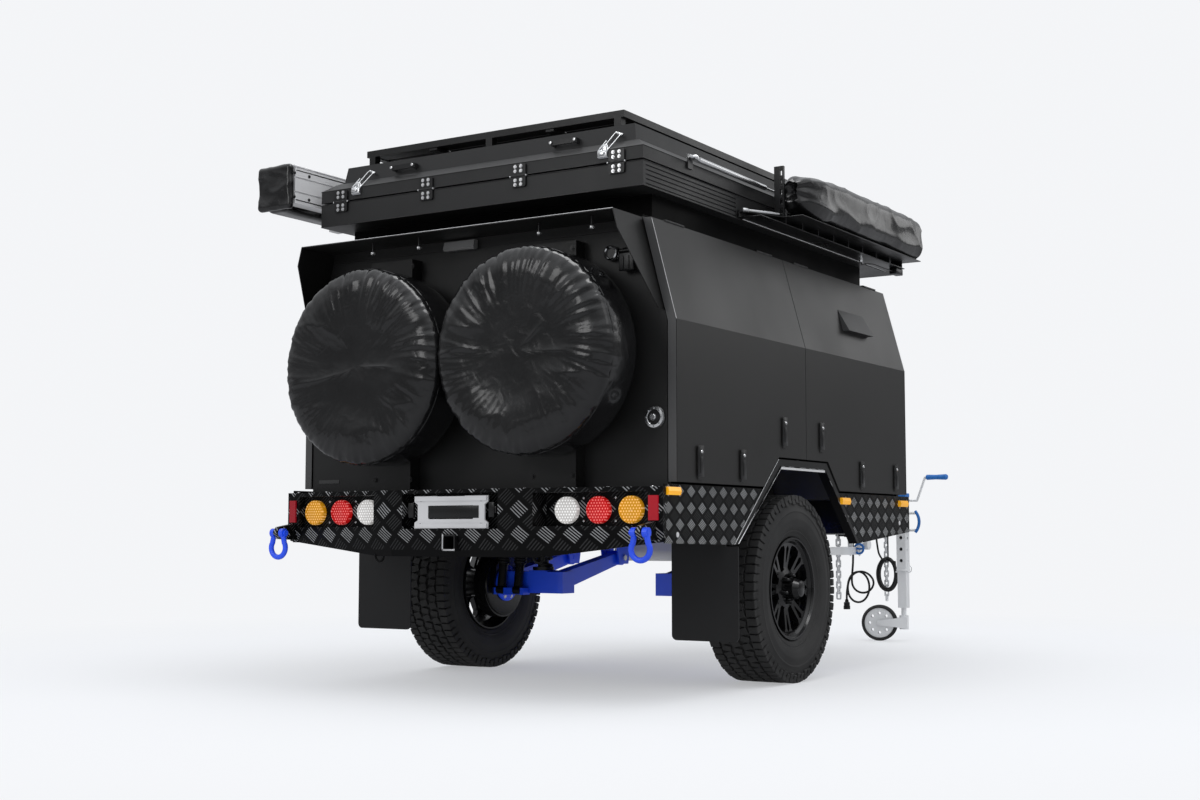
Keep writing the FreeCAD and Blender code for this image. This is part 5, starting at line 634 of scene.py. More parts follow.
# Leads: millimetres from the axle, the same routes as the solids
LEAD_D = 0.012
LEAD_DROP = ((240, 2195, 600), (240, 2195, 556), (241, 2195, 512), (239, 2195, 465),
             (234, 2195, 418))
LOOP_POINTS = 12
LOOP_SMALL = (296, 368, 66, 62)
LOOP_WIDE = (261, 339.5, 69, 88.5)
LOOP_TURNS = 2
LOOP_SPREAD = 14
LEAD_TAIL = ((186, 2224, 303), (186, 2224, 268))
FRONT_LEAD = ((-28, 3122, 686), (-28, 3145, 686), (-28, 3164.5, 674.8), (-27, 3175.5, 655.3),
              (-23, 3175.5, 625), (-17, 3171, 588), (-9, 3164, 550), (0.8, 3160, 509),
              (19.8, 3160, 485.7))
COIL_AT = (53, 3160, 390)
COIL_TURNS, COIL_POINTS = 5, 16
COIL_WIDE, COIL_HIGH, COIL_INSET = 70, 108, 6.5
COIL_START = math.radians(118)
COIL_CHANGE = 0.6
COIL_LANES = ((-1, -10), (4, 2), (-4, 10.5), (10, -4.5), (12, 7.5))


def loop_route():
    """The hanging loops' points, growing from turn to turn."""
    points = []
    for index in range(LOOP_POINTS * LOOP_TURNS + 1):
        turn = index / LOOP_POINTS
        share = min(1, max(0, (turn - 0.5) / 0.6))
        x, z, wide, high = [a + (b - a) * share for a, b in zip(LOOP_SMALL, LOOP_WIDE)]
        y = LEAD_DROP[-1][1] + LOOP_SPREAD * turn
        angle = math.pi + 2 * math.pi * turn
        points.append((x + wide * math.cos(angle), y, z + high * math.sin(angle)))
    return points


def lead(name, route, node_name):
    """One lead as a smooth round curve that stands for its tube."""
    curve = new_curve(name, FINISHES["cable_rubber"].material, LEAD_D / 2, 4)
    curve.resolution_u = 10
    line = curve.splines.new("NURBS")
    line.points.add(len(route) - 1)
    for point, spot in zip(line.points, route):
        point.co = (*at(*spot), 1)
    line.order_u = 3
    line.use_endpoint_u = True
    made = placed(name, curve)
    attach(made, "trailer")
    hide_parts(node_name)
    return made


def coil_route():
    """The tied coil: turns of an upright oval, laid side by side, then the end tucked in."""
    x, y, z = COIL_AT
    points = []
    for turn in range(COIL_TURNS):
        inset, side = COIL_LANES[turn]
        after_inset, after_side = COIL_LANES[(turn + 1) % COIL_TURNS]
        for index in range(COIL_POINTS):
            share = index / COIL_POINTS
            angle = COIL_START + 2 * math.pi * share
            change = max(0, share - COIL_CHANGE) / (1 - COIL_CHANGE)
            less = inset + (after_inset - inset) * change + COIL_INSET
            lane = side + (after_side - side) * change
            wide, high = COIL_WIDE - less, COIL_HIGH - less
            points.append((x + wide * math.cos(angle), y + lane, z + high * math.sin(angle)))
    return points[:-3]


main_lead = lead("lead_right_cable", list(LEAD_DROP) + loop_route() + list(LEAD_TAIL), "lead_right")
front_lead = lead("lead_front_cable", list(FRONT_LEAD), "lead_front")
coil = lead("lead_coil_cable", coil_route(), "lead_coil")
coil_end, coil_back = [at(*spot) for spot in (coil_route()[-1], coil_route()[-2])]


# Small hardware: places in millimetres from the axle, turned outlines as (radius, distance) in metres

BRIGHT, DARK, CHROME = LOOKS["stainless"], LOOKS["trim_plastic"], LOOKS["chromed"]
ALLOY, PAINT = LOOKS["bare_alloy"], LOOKS["frame_paint"]
GALVANISED, RUBBER = LOOKS["galvanised"], LOOKS["cable_rubber"]
REAR, UP = (0, -1, 0), (0, 0, 1)
SIDES = (("right", 1), ("left", -1))
HUB_Z = 402
BODY_HALF, BELT_Z, BODY_TOP_HALF, BODY_TOP_Z, BODY_Z0 = 931, 1449, 822, 1853, 831
HINGE_X, HINGE_BACK_Y = (-700, -234, 237, 700), -1117.2
CATCH_X = (-612, 640)
HANDLE_X = (-400, 420)
DOOR_ENDS = {
    "rear": (-1058, ((-880, 905), (-520, 905), (-130, 1060))),
    "front": (1260, ((250, 1060), (700, 905), (1120, 905))),
}
KEYHOLE = [(0, 0.0012), (0.0025, 0.0012), (0.0032, 0.0035), (0.0058, 0.0035), (0.0072, 0)]
LATCH_STEPS = ((24, -50, 70, 1.6), (18, -42, 62, 2.4), (10, -36, 26, 4.2))
ARCH = ((-551, 594), (-152, 919), (292, 919), (640, 594))
ARCH_OUTER = ((-583, 594), (-174.4, 951), (314.4, 951), (672, 594))
BAR_MIDDLE_Y, BAR_END_Y, BAR_CORNER_X, BAR_TOP_Z = -1245, -1164, 319, 811.2
FLAP_BACK_Y, FAIRLEAD_Y, CARRIER_Y = -574.5, -1233.2, -1120.4
DOOR_FACE_X = 937
FILLER_X, FILLER_Z, FILLER_BOLTS_R = 837, 1077, 34
DAMPER_X, DAMPER_FOOT, DAMPER_HEAD = (480, 575), (-85, 374), (-40, 678)
PIVOT_X, PIVOT_Y, PIVOT_Z = (254, 636), 500, 520
SLATS_FROM_Y, SLATS_TO_Y, SLAT_STEP, SLAT_WIDTH = -960, 1290, 75, 58
ROLLER = [(0, 0), (0.0165, 0), (0.0165, 0.004), (0.015, 0.006), (0.015, 0.064), (0.0165, 0.066),
          (0.0165, 0.07), (0, 0.07)]
FAIRLEAD_ENDS = ((200, 14, -1236, -1222, 700, 760, 0.004),
                 (214, 7, -1232, -1216, 716, 744, 0.003))
AWNING_SCREW_Y = (-2.234, -2.142, -1.684, -1.592, -1.134, -1.042)
AWNING_HIGH_Z, AWNING_LOW_Z = 2.193, 2.089
SPARES = ((408, 1334), (-390, 1315))
STALK_END = [(0, 0.013), (0.006, 0.012), (0.0095, 0.008), (0.0095, 0.001), (0, 0)]
BAIL_Y = 2866
STRUT_EYE = [(0, 0.012), (0.006, 0.011), (0.0095, 0.007), (0.011, 0.001), (0.011, -0.01)]
SOCKET_RING = [(0.021, 0), (0.021, 0.012), (0.0245, 0.016), (0.029, 0.013), (0.0305, 0)]
FILLER_RING = [(0.026, 0), (0.026, 0.007), (0.03, 0.011), (0.04, 0.009), (0.044, 0)]
ROD_END = [(0, 0), (0.009, 0.001), (0.011, 0.008), (0.011, 0.03), (0.0075, 0.036)]
BACKING_PLATE = [(0.04, 0), (0.128, 0), (0.15, 0.004), (0.152, 0.01), (0.14, 0.01), (0.122, 0.004),
                 (0.04, 0.004)]
STUB_FLANGE = [(0.03, 0), (0.08, 0), (0.084, 0.003), (0.084, 0.012), (0.03, 0.012)]
LUG_NUT = [(0, 0.031), (0.005, 0.03), (0.0088, 0.024), (0.0092, 0.008), (0.0115, 0.003), (0.0115, -0.004)]
HUB_CAP = [(0, 0.0665), (0.012, 0.0665), (0.026, 0.0645), (0.0335, 0.06), (0.035, 0.052), (0.035, 0.047)]
RIM_LIP = [(0.214, 0.06), (0.2185, 0.064), (0.2185, 0.07), (0.226, 0.0745), (0.2285, 0.072), (0.2285, 0.066)]
VALVE = [(0, 0.034), (0.0035, 0.034), (0.0042, 0.012), (0.0055, 0), (0.0055, -0.004)]
CONNECTOR = [(0, -0.004), (0.0075, -0.003), (0.0085, 0.01), (0.0115, 0.014), (0.0125, 0.034), (0.0105, 0.038),
             (0, 0.038)]


def catch(bm, x):
    """One catch of the lid: its plate, lever and pins; gives the wires of its loop."""
    foot, hook = at(x, -1112, 2112), at(x + 34, -1050, 2196)
    run = (hook - foot).normalized()
    side = run.cross(Vector(REAR)).normalized() * 0.011
    lift = Vector((0, -0.006, 0.003))
    lever = foot + run * 0.012
    add_block(bm, at(x - 22, -1124.5, 2092), at(x + 22, -1119, 2120), 0.002)
    add_block(bm, at(x - 13, -1133, 2098), at(x + 13, -1120, 2114), 0.004, 3)
    add_block(bm, lever - Vector((0.012, 0.01, 0.016)), lever + Vector((0.012, 0.004, 0.024)), 0.004, 3)
    add_cone(bm, foot + lift - side * 1.8, foot + lift + side * 1.8, 0.0048, sides=12)
    add_cone(bm, hook - side * 1.5, hook + side * 1.5, 0.0055, sides=12)
    corners = foot + side, hook + side * 1.2, hook - side * 1.2, foot - side, foot + side
    loop = rounded([corner + lift for corner in corners], 0.012)
    return [loop, [foot + lift * 2 - side * 1.3, foot + run * 0.052 + lift * 2.2 - side * 1.3]]


def lid_hardware():
    """Bolts of the tent's hinges, the catches with their wire loops, and the pull handles' screws."""
    across = [x + dx for x in HINGE_X for dx in (-14, 14)]
    for name, body, heights in (("fixed", "trailer", (2034, 2052)), ("lid", "lid", (2089, 2108))):
        spots = [at(x, HINGE_BACK_Y, z) for x in across for z in heights]
        bolts("hinge_bolts_" + name, body, BRIGHT, spots, REAR, 0.0052)
    bm = bmesh.new()
    for x in HINGE_X:
        for side in (-1, 1):
            add_cone(bm, at(x + side * 34, -1115, 2069), at(x + side * 41, -1115, 2069), 0.0042, sides=12)
    keep("hinge_pin_ends", bm, "trailer", BRIGHT)
    loops, bm = [], bmesh.new()
    for x in CATCH_X:
        loops += catch(bm, x)
    pipe("catch_wire_loops", "lid", CHROME, loops, 0.0024)
    keep("catch_levers", bm, "lid", CHROME)
    spots = [at(x + dx, -1073, 2196) for x in HANDLE_X for dx in (-57, 57)]
    screws("lid_handle_screws", "lid", BRIGHT, spots, REAR, 0.0062)


def edge_beads():
    """Thin dark edges of the tent's tray and lid, along the rear and the right-hand side."""
    x, y0, y1 = 816.6, -1108.6, 1420
    for body, heights in (("trailer", (1967.5, 2064.5)), ("lid", (2073.5, 2124))):
        routes = [[at(-x, y0, z), at(x, y0, z), at(x, y1, z)] for z in heights]
        pipe("tent_edge_beads_" + body, body, DARK, routes, 0.0016, rounds=2)


def dress_door(name, side, edge_y, spots):
    """One door's keyholes, latch plates and edge beads; the bright upper bead is a painted highlight."""
    body = name + "_body"
    bm = bmesh.new()
    for y, z in spots:
        add_turned(bm, KEYHOLE, at(side * (DOOR_FACE_X + 2), y + 4, z + 46), (side, 0, 0), 18)
    keep(name + "_keyholes", bm, body, BRIGHT)
    bm = bmesh.new()
    for y, z in spots:
        for wide, z0, z1, out in LATCH_STEPS:
            inner = at(side * (DOOR_FACE_X - 0.1), y - wide, z + z0)
            add_block(bm, inner, at(side * (DOOR_FACE_X + out), y + wide, z + z1), 0.001)
    keep(name + "_latch_paddles", bm, body, DARK)
    low, belt = [at(side * BODY_HALF, edge_y, z) for z in (BODY_Z0 + 4, BELT_Z)]
    top = at(side * (BODY_TOP_HALF + 2), edge_y, BODY_TOP_Z - 8)
    # painted highlight: the bead beside the leaning panel is bright alloy, the one below the belt stays dark
    pipe(name + "_edge_bead", body, ALLOY, [[belt, top]], 0.0011, rounds=2)
    pipe(name + "_lower_bead", body, DARK, [[low, belt]], 0.0013, rounds=2)


def door_hardware():
    """The small parts of all four doors."""
    for word, side in SIDES:
        for end, (edge_y, spots) in DOOR_ENDS.items():
            dress_door(f"door_{end}_{word}", side, edge_y, spots)


def skirt_trim():
    """Band, lips, outer bead and screws round the wheel arches; the bright lips and outer bead are a painted
    highlight on the rear leg and top only.
    """
    outer, lips = [], bmesh.new()
    for word, side in SIDES:
        # painted highlight: the bright outer bead runs up the rear leg only
        outer.append([at(side * 926.8, y, z) for y, z in ARCH_OUTER[:2]])
        bm = bmesh.new()
        rings = [[bm.verts.new(at(side * 924.3, y, z)) for y, z in row] for row in (ARCH, ARCH_OUTER)]
        for i in range(3):
            bm.faces.new((rings[0][i], rings[0][i + 1], rings[1][i + 1], rings[1][i]))
        thicken(bm, bm.faces[:], (side * 0.0024, 0, 0))
        keep("arch_band_" + word, bm, "trailer", PAINT)
        # painted highlight: bright lips only over the top and up the rear leg, none on the front leg
        add_block(lips, at(side * 924, -156, 909), at(side * 929, 292, 919.5), 0.0012)
        add_cone(lips, at(side * 926, -551, 594), at(side * 926, -152, 917), 0.0034, sides=12)
        for y, z in ((-1043, 632), (1180, 690)):
            add_screw(lips, at(side * 924, y, z), (side, 0, 0), 0.0105)
    keep("arch_lips", lips, "trailer", ALLOY)
    pipe("arch_outer_beads", "trailer", GALVANISED, outer, 0.0009, rounds=2)


def bar_hardware():
    """Screws along the rear bar's top, flap bolts, fairlead rollers and bolts, and lamp screws."""
    slope = (BAR_END_Y - BAR_MIDDLE_Y) / (BODY_HALF - BAR_CORNER_X)
    spots = []
    for x in (-880, -700, -520, -350, -200, 200, 350, 520, 700, 880):
        y = BAR_MIDDLE_Y + max(0, abs(x) - BAR_CORNER_X) * slope
        spots.append(at(x, y + 18, BAR_TOP_Z))
    screws("bar_top_screws", "trailer", BRIGHT, spots, UP, 0.0075)
    spots = [at(side * x, FLAP_BACK_Y, 560) for side in (-1, 1) for x in (720, 860)]
    bolts("flap_bolts", "trailer", BRIGHT, spots, REAR, 0.008)
    bm = bmesh.new()
    for side in (-1, 1):
        add_turned(bm, ROLLER, at(side * 126, -1211, 686), UP, 24)
    keep("fairlead_rollers", bm, "trailer", DARK)
    spots = [at(x, FAIRLEAD_Y, z) for x in (-150, 150) for z in (668, 774)]
    bolts("fairlead_bolts", "trailer", BRIGHT, spots, REAR, 0.0075)
    spots = [at(side * x, -1141, z) for side in (-1, 1) for x in (569, 713) for z in (684, 772)]
    screws("lamp_pocket_screws", "trailer", BRIGHT, spots, REAR, 0.005)


def bar_openings():
    """Dark blocks as painted shade behind the fairlead's slot and at its ends, and bright strips on the left
    and bottom edges of the receiver's mouth.
    """
    bm = bmesh.new()
    # painted shade: a thin dark sheet stands in for the shadow in the recess behind the slot
    add_block(bm, at(-112, -1234.6, 698), at(138, -1232.6, 747), 0.0008)
    for side in (-1, 1):
        for x, wide, y0, y1, z0, z1, bevel in FAIRLEAD_ENDS:
            add_block(bm, at(side * x - wide, y0, z0), at(side * x + wide, y1, z1), bevel)
    keep("winch_recess_dark", bm, "trailer", DARK)
    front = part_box("receiver")[0][1]
    bm = bmesh.new()
    for x, z in ((-0.0256, 0.633), (0.0318, 0.5752)):
        add_block(bm, Vector((-0.0318, front - 0.0012, 0.569)), Vector((x, front + 0.002, z)), 0.0004)
    for x, z in ((-162, 668), (170, 668), (-162, 773), (170, 773)):
        add_screw(bm, at(x, FAIRLEAD_Y, z), REAR, 0.0042)
    keep("receiver_edges", bm, "trailer", BRIGHT)


def awning_hardware():
    """Black screws in pairs, and two dark strips of painted shade for the grooves along the awning case's
    inner face.
    """
    side = at(-860, 0, 0).x
    bm = bmesh.new()
    for z in (AWNING_HIGH_Z, AWNING_LOW_Z):
        for y in AWNING_SCREW_Y:
            add_screw(bm, Vector((side, y, z)), (1, 0, 0), 0.0075)
    low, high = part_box("awning_case")
    # painted shade: raised dark strips stand in for the shadow in the two grooves
    for z in (AWNING_HIGH_Z + 0.014, AWNING_LOW_Z - 0.012):
        end = Vector((side + 0.0009, high[1] - 0.006, z + 0.0022))
        add_block(bm, Vector((side - 0.001, low[1] + 0.006, z - 0.0022)), end, 0.0003)
    keep("awning_screws", bm, "trailer", DARK)


def hood_hardware():
    """Edge bead, bolts and stalks of the spare wheels' hood, and the carriers' fixing bolts; the bright edge
    bead is a painted highlight.
    """
    edge = [at(-779, -1269.5, 1854.4), at(779, -1269.5, 1854.4)]
    # painted highlight: a bright alloy bead stands in for the light along the hood's top edge
    pipe("hood_edge_bead", "trailer", ALLOY, [edge], 0.0011, rounds=2)
    spots = [at(x, -1200, 1854.2) for x in (-444, -199, 397, 642)]
    bolts("hood_bolts", "trailer", BRIGHT, spots, UP, 0.007)
    stalks, ends = bmesh.new(), bmesh.new()
    for spot in spots:
        top, low, foot = [spot - Vector((0, 0, down)) for down in (0.006, 0.046, 0.044)]
        add_cone(stalks, top, low, 0.0045, sides=12)
        add_turned(ends, STALK_END, foot, (0, 0, -1), 16)
    keep("hood_bolt_stalks", stalks, "trailer", DARK)
    keep("hood_bolt_ends", ends, "trailer", BRIGHT)
    spots = [at(x + dx, CARRIER_Y, z) for x, _ in SPARES for dx in (-92, 92) for z in (860, 1750)]
    bolts("carrier_bolts", "trailer", DARK, spots, REAR, 0.008)


def jockey_hardware():
    """Dark discs of painted shade in the jockey sleeve's holes, its flange and bail pin, and the blue knob of
    the right-hand stabiliser.
    """
    bm = bmesh.new()
    # painted shade: flat dark discs stand in for the shadow inside the holes
    for z in (480, 549, 618):
        add_turned(bm, [(0, 0.0012), (0.0085, 0.0012), (0.0095, 0)], at(270, 2848.5, z), REAR, 20)
    keep("jockey_holes", bm, "trailer", DARK)
    bm = bmesh.new()
    flange = [(0.0315, -0.006), (0.0405, -0.006), (0.0405, 0.006), (0.0315, 0.006)]
    add_turned(bm, flange, at(270, 2880, 424), UP, 32)
    add_cone(bm, at(228, BAIL_Y, 412), at(318, BAIL_Y, 412), 0.005, sides=14)
    keep("jockey_flange", bm, "trailer", GALVANISED)
    ring = [at(x, BAIL_Y, z) for x, z in ((318, 412), (326, 418), (328, 440), (316, 452))]
    pipe("jockey_bail", "trailer", CHROME, [rounded(ring, 0.01)], 0.0022)
    heart = Vector((0.318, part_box("stabiliser_right")[1][1] - 0.05, 0.556))
    angles = [math.pi * i / 10 for i in range(20)]
    turn = [heart + Vector((0.027 * math.cos(a), 0, 0.027 * math.sin(a))) for a in angles]
    spoke = [heart - Vector((0.026, 0, 0)), heart + Vector((0.026, 0, 0))]
    pipe("stabiliser_knob", "trailer", LOOKS["blue_plastic"], [turn], 0.0062, cyclic=True)
    pipe("stabiliser_knob_spoke", "trailer", LOOKS["blue_plastic"], [spoke], 0.0055)
    pipe("stabiliser_spindle", "trailer", GALVANISED, [[heart, heart + Vector((-0.012, 0.045, 0))]], 0.0055)


def wall_hardware():
    """Ring of the wall socket, the inlet's hinged lid, and the filler's ring, cap and bolts."""
    rings, darks = bmesh.new(), bmesh.new()
    socket, filler = at(652, -1072, 1722), at(FILLER_X, -1060, FILLER_Z)
    add_turned(rings, SOCKET_RING, socket, REAR, 32)
    add_turned(darks, [(0, 0.004), (0.021, 0.004), (0.0215, 0)], socket, REAR, 32)
    add_turned(rings, FILLER_RING, filler, REAR, 40)
    add_turned(rings, [(0, 0.022), (0.01, 0.022), (0.013, 0.018), (0.013, 0.006)], filler, REAR, 24)
    add_turned(darks, [(0.012, 0.008), (0.0262, 0.008), (0.0265, 0)], filler, REAR, 32)
    for i in range(8):
        angle = 2 * math.pi * i / 8
        x, z = FILLER_X + FILLER_BOLTS_R * math.cos(angle), FILLER_Z + FILLER_BOLTS_R * math.sin(angle)
        add_cone(rings, at(x, -1068, z), at(x, -1072.5, z), 0.0032, sides=10)
    inlet = Vector((0.732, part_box("wall_fittings")[0][1], 1.69))
    low, high = Vector((-0.034, -0.007, -0.046)), Vector((0.034, 0.004, 0.026))
    add_block(darks, inlet + low, inlet + high, 0.005, 3)
    left, right = Vector((-0.03, 0.001, 0.034)), Vector((0.03, 0.001, 0.034))
    add_cone(darks, inlet + left, inlet + right, 0.0075, sides=16)
    for x in (-0.013, 0.013):
        low, high = Vector((x - 0.002, -0.011, -0.04)), Vector((x + 0.002, -0.006, 0.012))
        add_block(darks, inlet + low, inlet + high, 0.001)
    keep("wall_fitting_rings", rings, "trailer", CHROME)
    keep("wall_fitting_lids", darks, "trailer", DARK)


def rack_slats():
    """Slats across the roof rack and the two rails under them."""
    bm = bmesh.new()
    y = SLATS_FROM_Y
    while y < SLATS_TO_Y:
        add_block(bm, at(-640, y, 2283.5), at(640, y + SLAT_WIDTH, 2300), 0.003, 1)
        y += SLAT_STEP
    for x in (-300, 300):
        add_block(bm, at(x - 22, -985, 2268), at(x + 22, 1313, 2284), 0.003, 1)
    keep("rack_slats", bm, "lid", PAINT)


def strut_ends():
    """Bright eye ends on the gas struts' pins and their stepped end fittings."""
    for body, y, z, word in (("lid", -746, 2142, "lid"), ("trailer", 124, 2137, "base")):
        bm = bmesh.new()
        for side in (-1, 1):
            add_turned(bm, STRUT_EYE, at(side * 847, y, z), (side, 0, 0), 20)
            for out, r in ((-20, 0.0085), (14, 0.0075)):
                tip = at(side * 838, y + out * 2.2, z + out * 0.01)
                add_cone(bm, at(side * 838, y + out, z), tip, r, sides=8)
        keep("strut_eyes_" + word, bm, body, CHROME)


def bellows(bm, start, end, radius, ribs):
    """A ribbed rubber sleeve between two points."""
    length = (end - start).length
    profile = [(radius * 0.7, 0)]
    for i in range(ribs):
        low, high = length * i / ribs, length * (i + 1) / ribs
        profile += [(radius * 0.86, low + 0.001), (radius, (low + high) / 2), (radius * 0.86, high - 0.001)]
    add_turned(bm, profile + [(radius * 0.7, length)], start, end - start, 24)


def hub_circle(x, radius, count, start):
    """Places round a wheel's axis."""
    angles = [start + 2 * math.pi * i / count for i in range(count)]
    return [at(x, radius * math.cos(angle), HUB_Z + radius * math.sin(angle)) for angle in angles]


def turned_pair(name, profile, x, steps, look):
    """A turned piece at both wheels' axis, on the trailer."""
    bm = bmesh.new()
    for side in (1, -1):
        add_turned(bm, profile, at(side * x, 0, HUB_Z), (side, 0, 0), steps)
    keep(name, bm, "trailer", look)


def wheel_trim(body, side):
    """One wheel's nuts, hub cap, rim lip and valve."""
    outward = (side, 0, 0)
    hub, rim, valve = at(side * 881, 0, HUB_Z), at(side * 822, 0, HUB_Z), at(side * 880, 0, HUB_Z - 190)
    bm = bmesh.new()
    for spot in hub_circle(side * 878, 57, 6, 0.3):
        add_turned(bm, LUG_NUT, spot, outward, 12)
    keep(body + "_lug_nuts", bm, body, LOOKS["rim_paint"])
    for name, profile, spot, axis, steps, look in (
            ("_hub_cap", HUB_CAP, hub, outward, 40, LOOKS["rim_paint"]),
            ("_rim_lip", RIM_LIP, rim, outward, 96, LOOKS["rim_paint"]),
            ("_valve", VALVE, valve, (side, 0, 0.35), 12, LOOKS["cable_rubber"])):
        bm = bmesh.new()
        add_turned(bm, profile, spot, axis, steps)
        keep(body + name, bm, body, look)


def running_gear():
    """Ribbed damper sleeves, backing plates, stub flanges and their bolts, pivot bolts."""
    bm = bmesh.new()
    for side in (1, -1):
        for x in DAMPER_X:
            low, high = at(side * x, *DAMPER_FOOT), at(side * x, *DAMPER_HEAD)
            run = (high - low).normalized()
            bellows(bm, low + run * 0.125, low + run * 0.285, 0.032, 13)
    keep("damper_sleeves", bm, "trailer", LOOKS["flap_rubber"])
    turned_pair("backing_plates", BACKING_PLATE, 609, 48, LOOKS["rim_paint"])
    turned_pair("stub_flanges", STUB_FLANGE, 596, 40, LOOKS["blue_paint"])
    for word, side in SIDES:
        spots = hub_circle(side * 596, 66, 8, math.pi / 8)
        bolts("plate_bolts_" + word, "trailer", BRIGHT, spots, (-side, 0, 0), 0.007)
    bm = bmesh.new()
    for side in (1, -1):
        for x, way in zip(PIVOT_X, (-side, side)):
            add_bolt(bm, at(side * x, PIVOT_Y, PIVOT_Z), (way, 0, 0), 0.016, 0.014)
    keep("pivot_bolts", bm, "trailer", BRIGHT)
    for word, side in SIDES:
        wheel_trim("wheel_" + word, side)


# Tyres

HALF_W = 0.1275
TREAD_FLOOR = 0.386
SHOULDER_IN = 0.076
PITCHES = 34
RIBS = (-0.05, 0, 0.05)
TYRE_PROFILE = [
    (0.392, 0), (0.392, 0.05), (0.3905, 0.086), (0.386, 0.103), (0.374, 0.115), (0.353, 0.1215),
    (0.336, 0.1245), (0.333, 0.1265), (0.329, 0.1265), (0.326, 0.125), (0.306, HALF_W - 0.001), (0.3, HALF_W),
    (0.296, HALF_W), (0.29, HALF_W - 0.0015), (0.276, 0.1245), (0.262, 0.1195), (0.25, 0.1135),
    (0.246, 0.114), (0.243, 0.112), (0.236, 0.107), (0.228, 0.1045), (0.223, 0.1), (0.2195, 0.093),
    (0.2192, 0.08)]


def tyre(word, side):
    """Mud-terrain tyre: a turned carcass, rows of centre blocks and stepped shoulder lugs."""
    centre = at(side * 797.5, 0, HUB_Z)
    bm = bmesh.new()
    profile = [(r, -x) for r, x in reversed(TYRE_PROFILE[1:])] + TYRE_PROFILE
    add_turned(bm, profile, centre, (side, 0, 0), 126)
    for i in range(PITCHES):
        for part in (0, 1):
            angle = 2 * math.pi * (i + 0.5 * part) / PITCHES
            turn = Matrix.Translation(centre) @ Matrix.Rotation(angle, 4, "X")
            for rib, across in enumerate(RIBS):
                shift = Matrix.Rotation(math.pi / PITCHES * 0.33 * rib, 4, "X")
                tread_block(bm, turn @ shift, across, part)
            for face in (1, -1):
                shift = Matrix.Rotation(math.pi / PITCHES * 0.5 * face, 4, "X")
                shoulder_lug(bm, turn @ shift, face, part)
    keep("tyre_" + word + "_tread", bm, "wheel_" + word, LOOKS["tyre_rubber"], 30, ("tyre_" + word,))


def tapered(bm, matrix, low, high, taper, bevel):
    """A block that narrows towards its top, with a small rounding on its upper edges."""
    middle, size = (low + high) / 2, high - low
    place = Matrix.Translation(middle) @ Matrix.Diagonal((*size, 1))
    made = bmesh.ops.create_cube(bm, size=1, matrix=place)["verts"]
    for vert in made:
        if vert.co.z > middle.z:
            vert.co.x = middle.x + (vert.co.x - middle.x) * taper
            vert.co.y = middle.y + (vert.co.y - middle.y) * taper
    edges = {edge for vert in made for edge in vert.link_edges}
    upper = [edge for edge in edges if max(v.co.z for v in edge.verts) > middle.z]
    bevelled = bmesh.ops.bevel(bm, geom=upper, offset=bevel, offset_type="OFFSET", segments=1, profile=0.5,
                               affect="EDGES", material=-1)
    moved = {v for face in bevelled["faces"] for v in face.verts} | {v for v in made if v.is_valid}
    for vert in moved:
        vert.co = matrix @ vert.co


def tread_block(bm, turn, across, part):
    """A rib block: longer and shorter ones by turns, each turned a little and with a slanting side."""
    skew = Matrix.Rotation(math.radians(16 if part else -13), 4, "Z")
    low = Vector((-0.0205, -0.0158 if part else -0.014, -0.002))
    high = Vector((0.0205, 0.0158 if part else 0.014, 0.0155))
    tapered(bm, turn @ Matrix.Translation((across, 0, TREAD_FLOOR)) @ skew, low, high, 0.94, 0.0012)


def shoulder_lug(bm, turn, face, part):
    """A shoulder lug that turns over the edge and runs down the sidewall, by turns long and short."""
    width, reach, depth = ((0.0162, 0.1222, 0.032), (0.0152, 0.12, 0.024))[part]
    half = (reach - SHOULDER_IN) / 2
    over = Matrix.Translation((face * (reach + SHOULDER_IN) / 2, 0, TREAD_FLOOR))
    tapered(bm, turn @ over, Vector((-half, -width, -0.004)), Vector((half, width, 0.0148)), 0.96, 0.0016)
    lean = Matrix.Rotation(math.radians(face * 72), 4, "Y")
    side = Matrix.Translation((face * 0.117, 0, 0.389 - depth / 2))
    low, high = Vector((-depth / 2, -width * 0.85, -0.006)), Vector((depth / 2, width * 0.85, 0.006))
    tapered(bm, turn @ side @ lean, low, high, 0.92, 0.0014)


# Soft goods

COVER_FACE_Y = -1370
COVER_MIDDLE = (SPARES[0][0] + SPARES[1][0]) / 2
COVER_OUTLINE = [
    (0, 13), (50, 12.5), (100, 11.5), (140, 10), (175, 8), (205, 5.8), (230, 3.9),
    (250, 2.7), (268, 2), (285, 1.8), (300, 2), (315, 2.8), (330, 4.4), (344, 6.8),
    (356, 9.6), (367, 12.8), (377, 16.6), (386, 21.6), (393, 28), (398, 36),
    (401, 46), (403, 60), (404, 90), (404, 120), (404, 150), (403, 180),
    (401, 210), (396, 232), (384, 244), (360, 249)]
HARNESS = ((803, 1940), (812, 1926), (860, 1938), (960, 1950), (1080, 1948), (1206, 1950))
TUFT_STEP = 0.24
SEAM_R, SEAM_POINTS = 400.5, 96
MOUTH_IN, MOUTH_UP = 0.012, 0.01
TRAY_IN, TRAY_OUT = 872, 932
UPRIGHT_Y0, UPRIGHT_Y1 = -109, -95


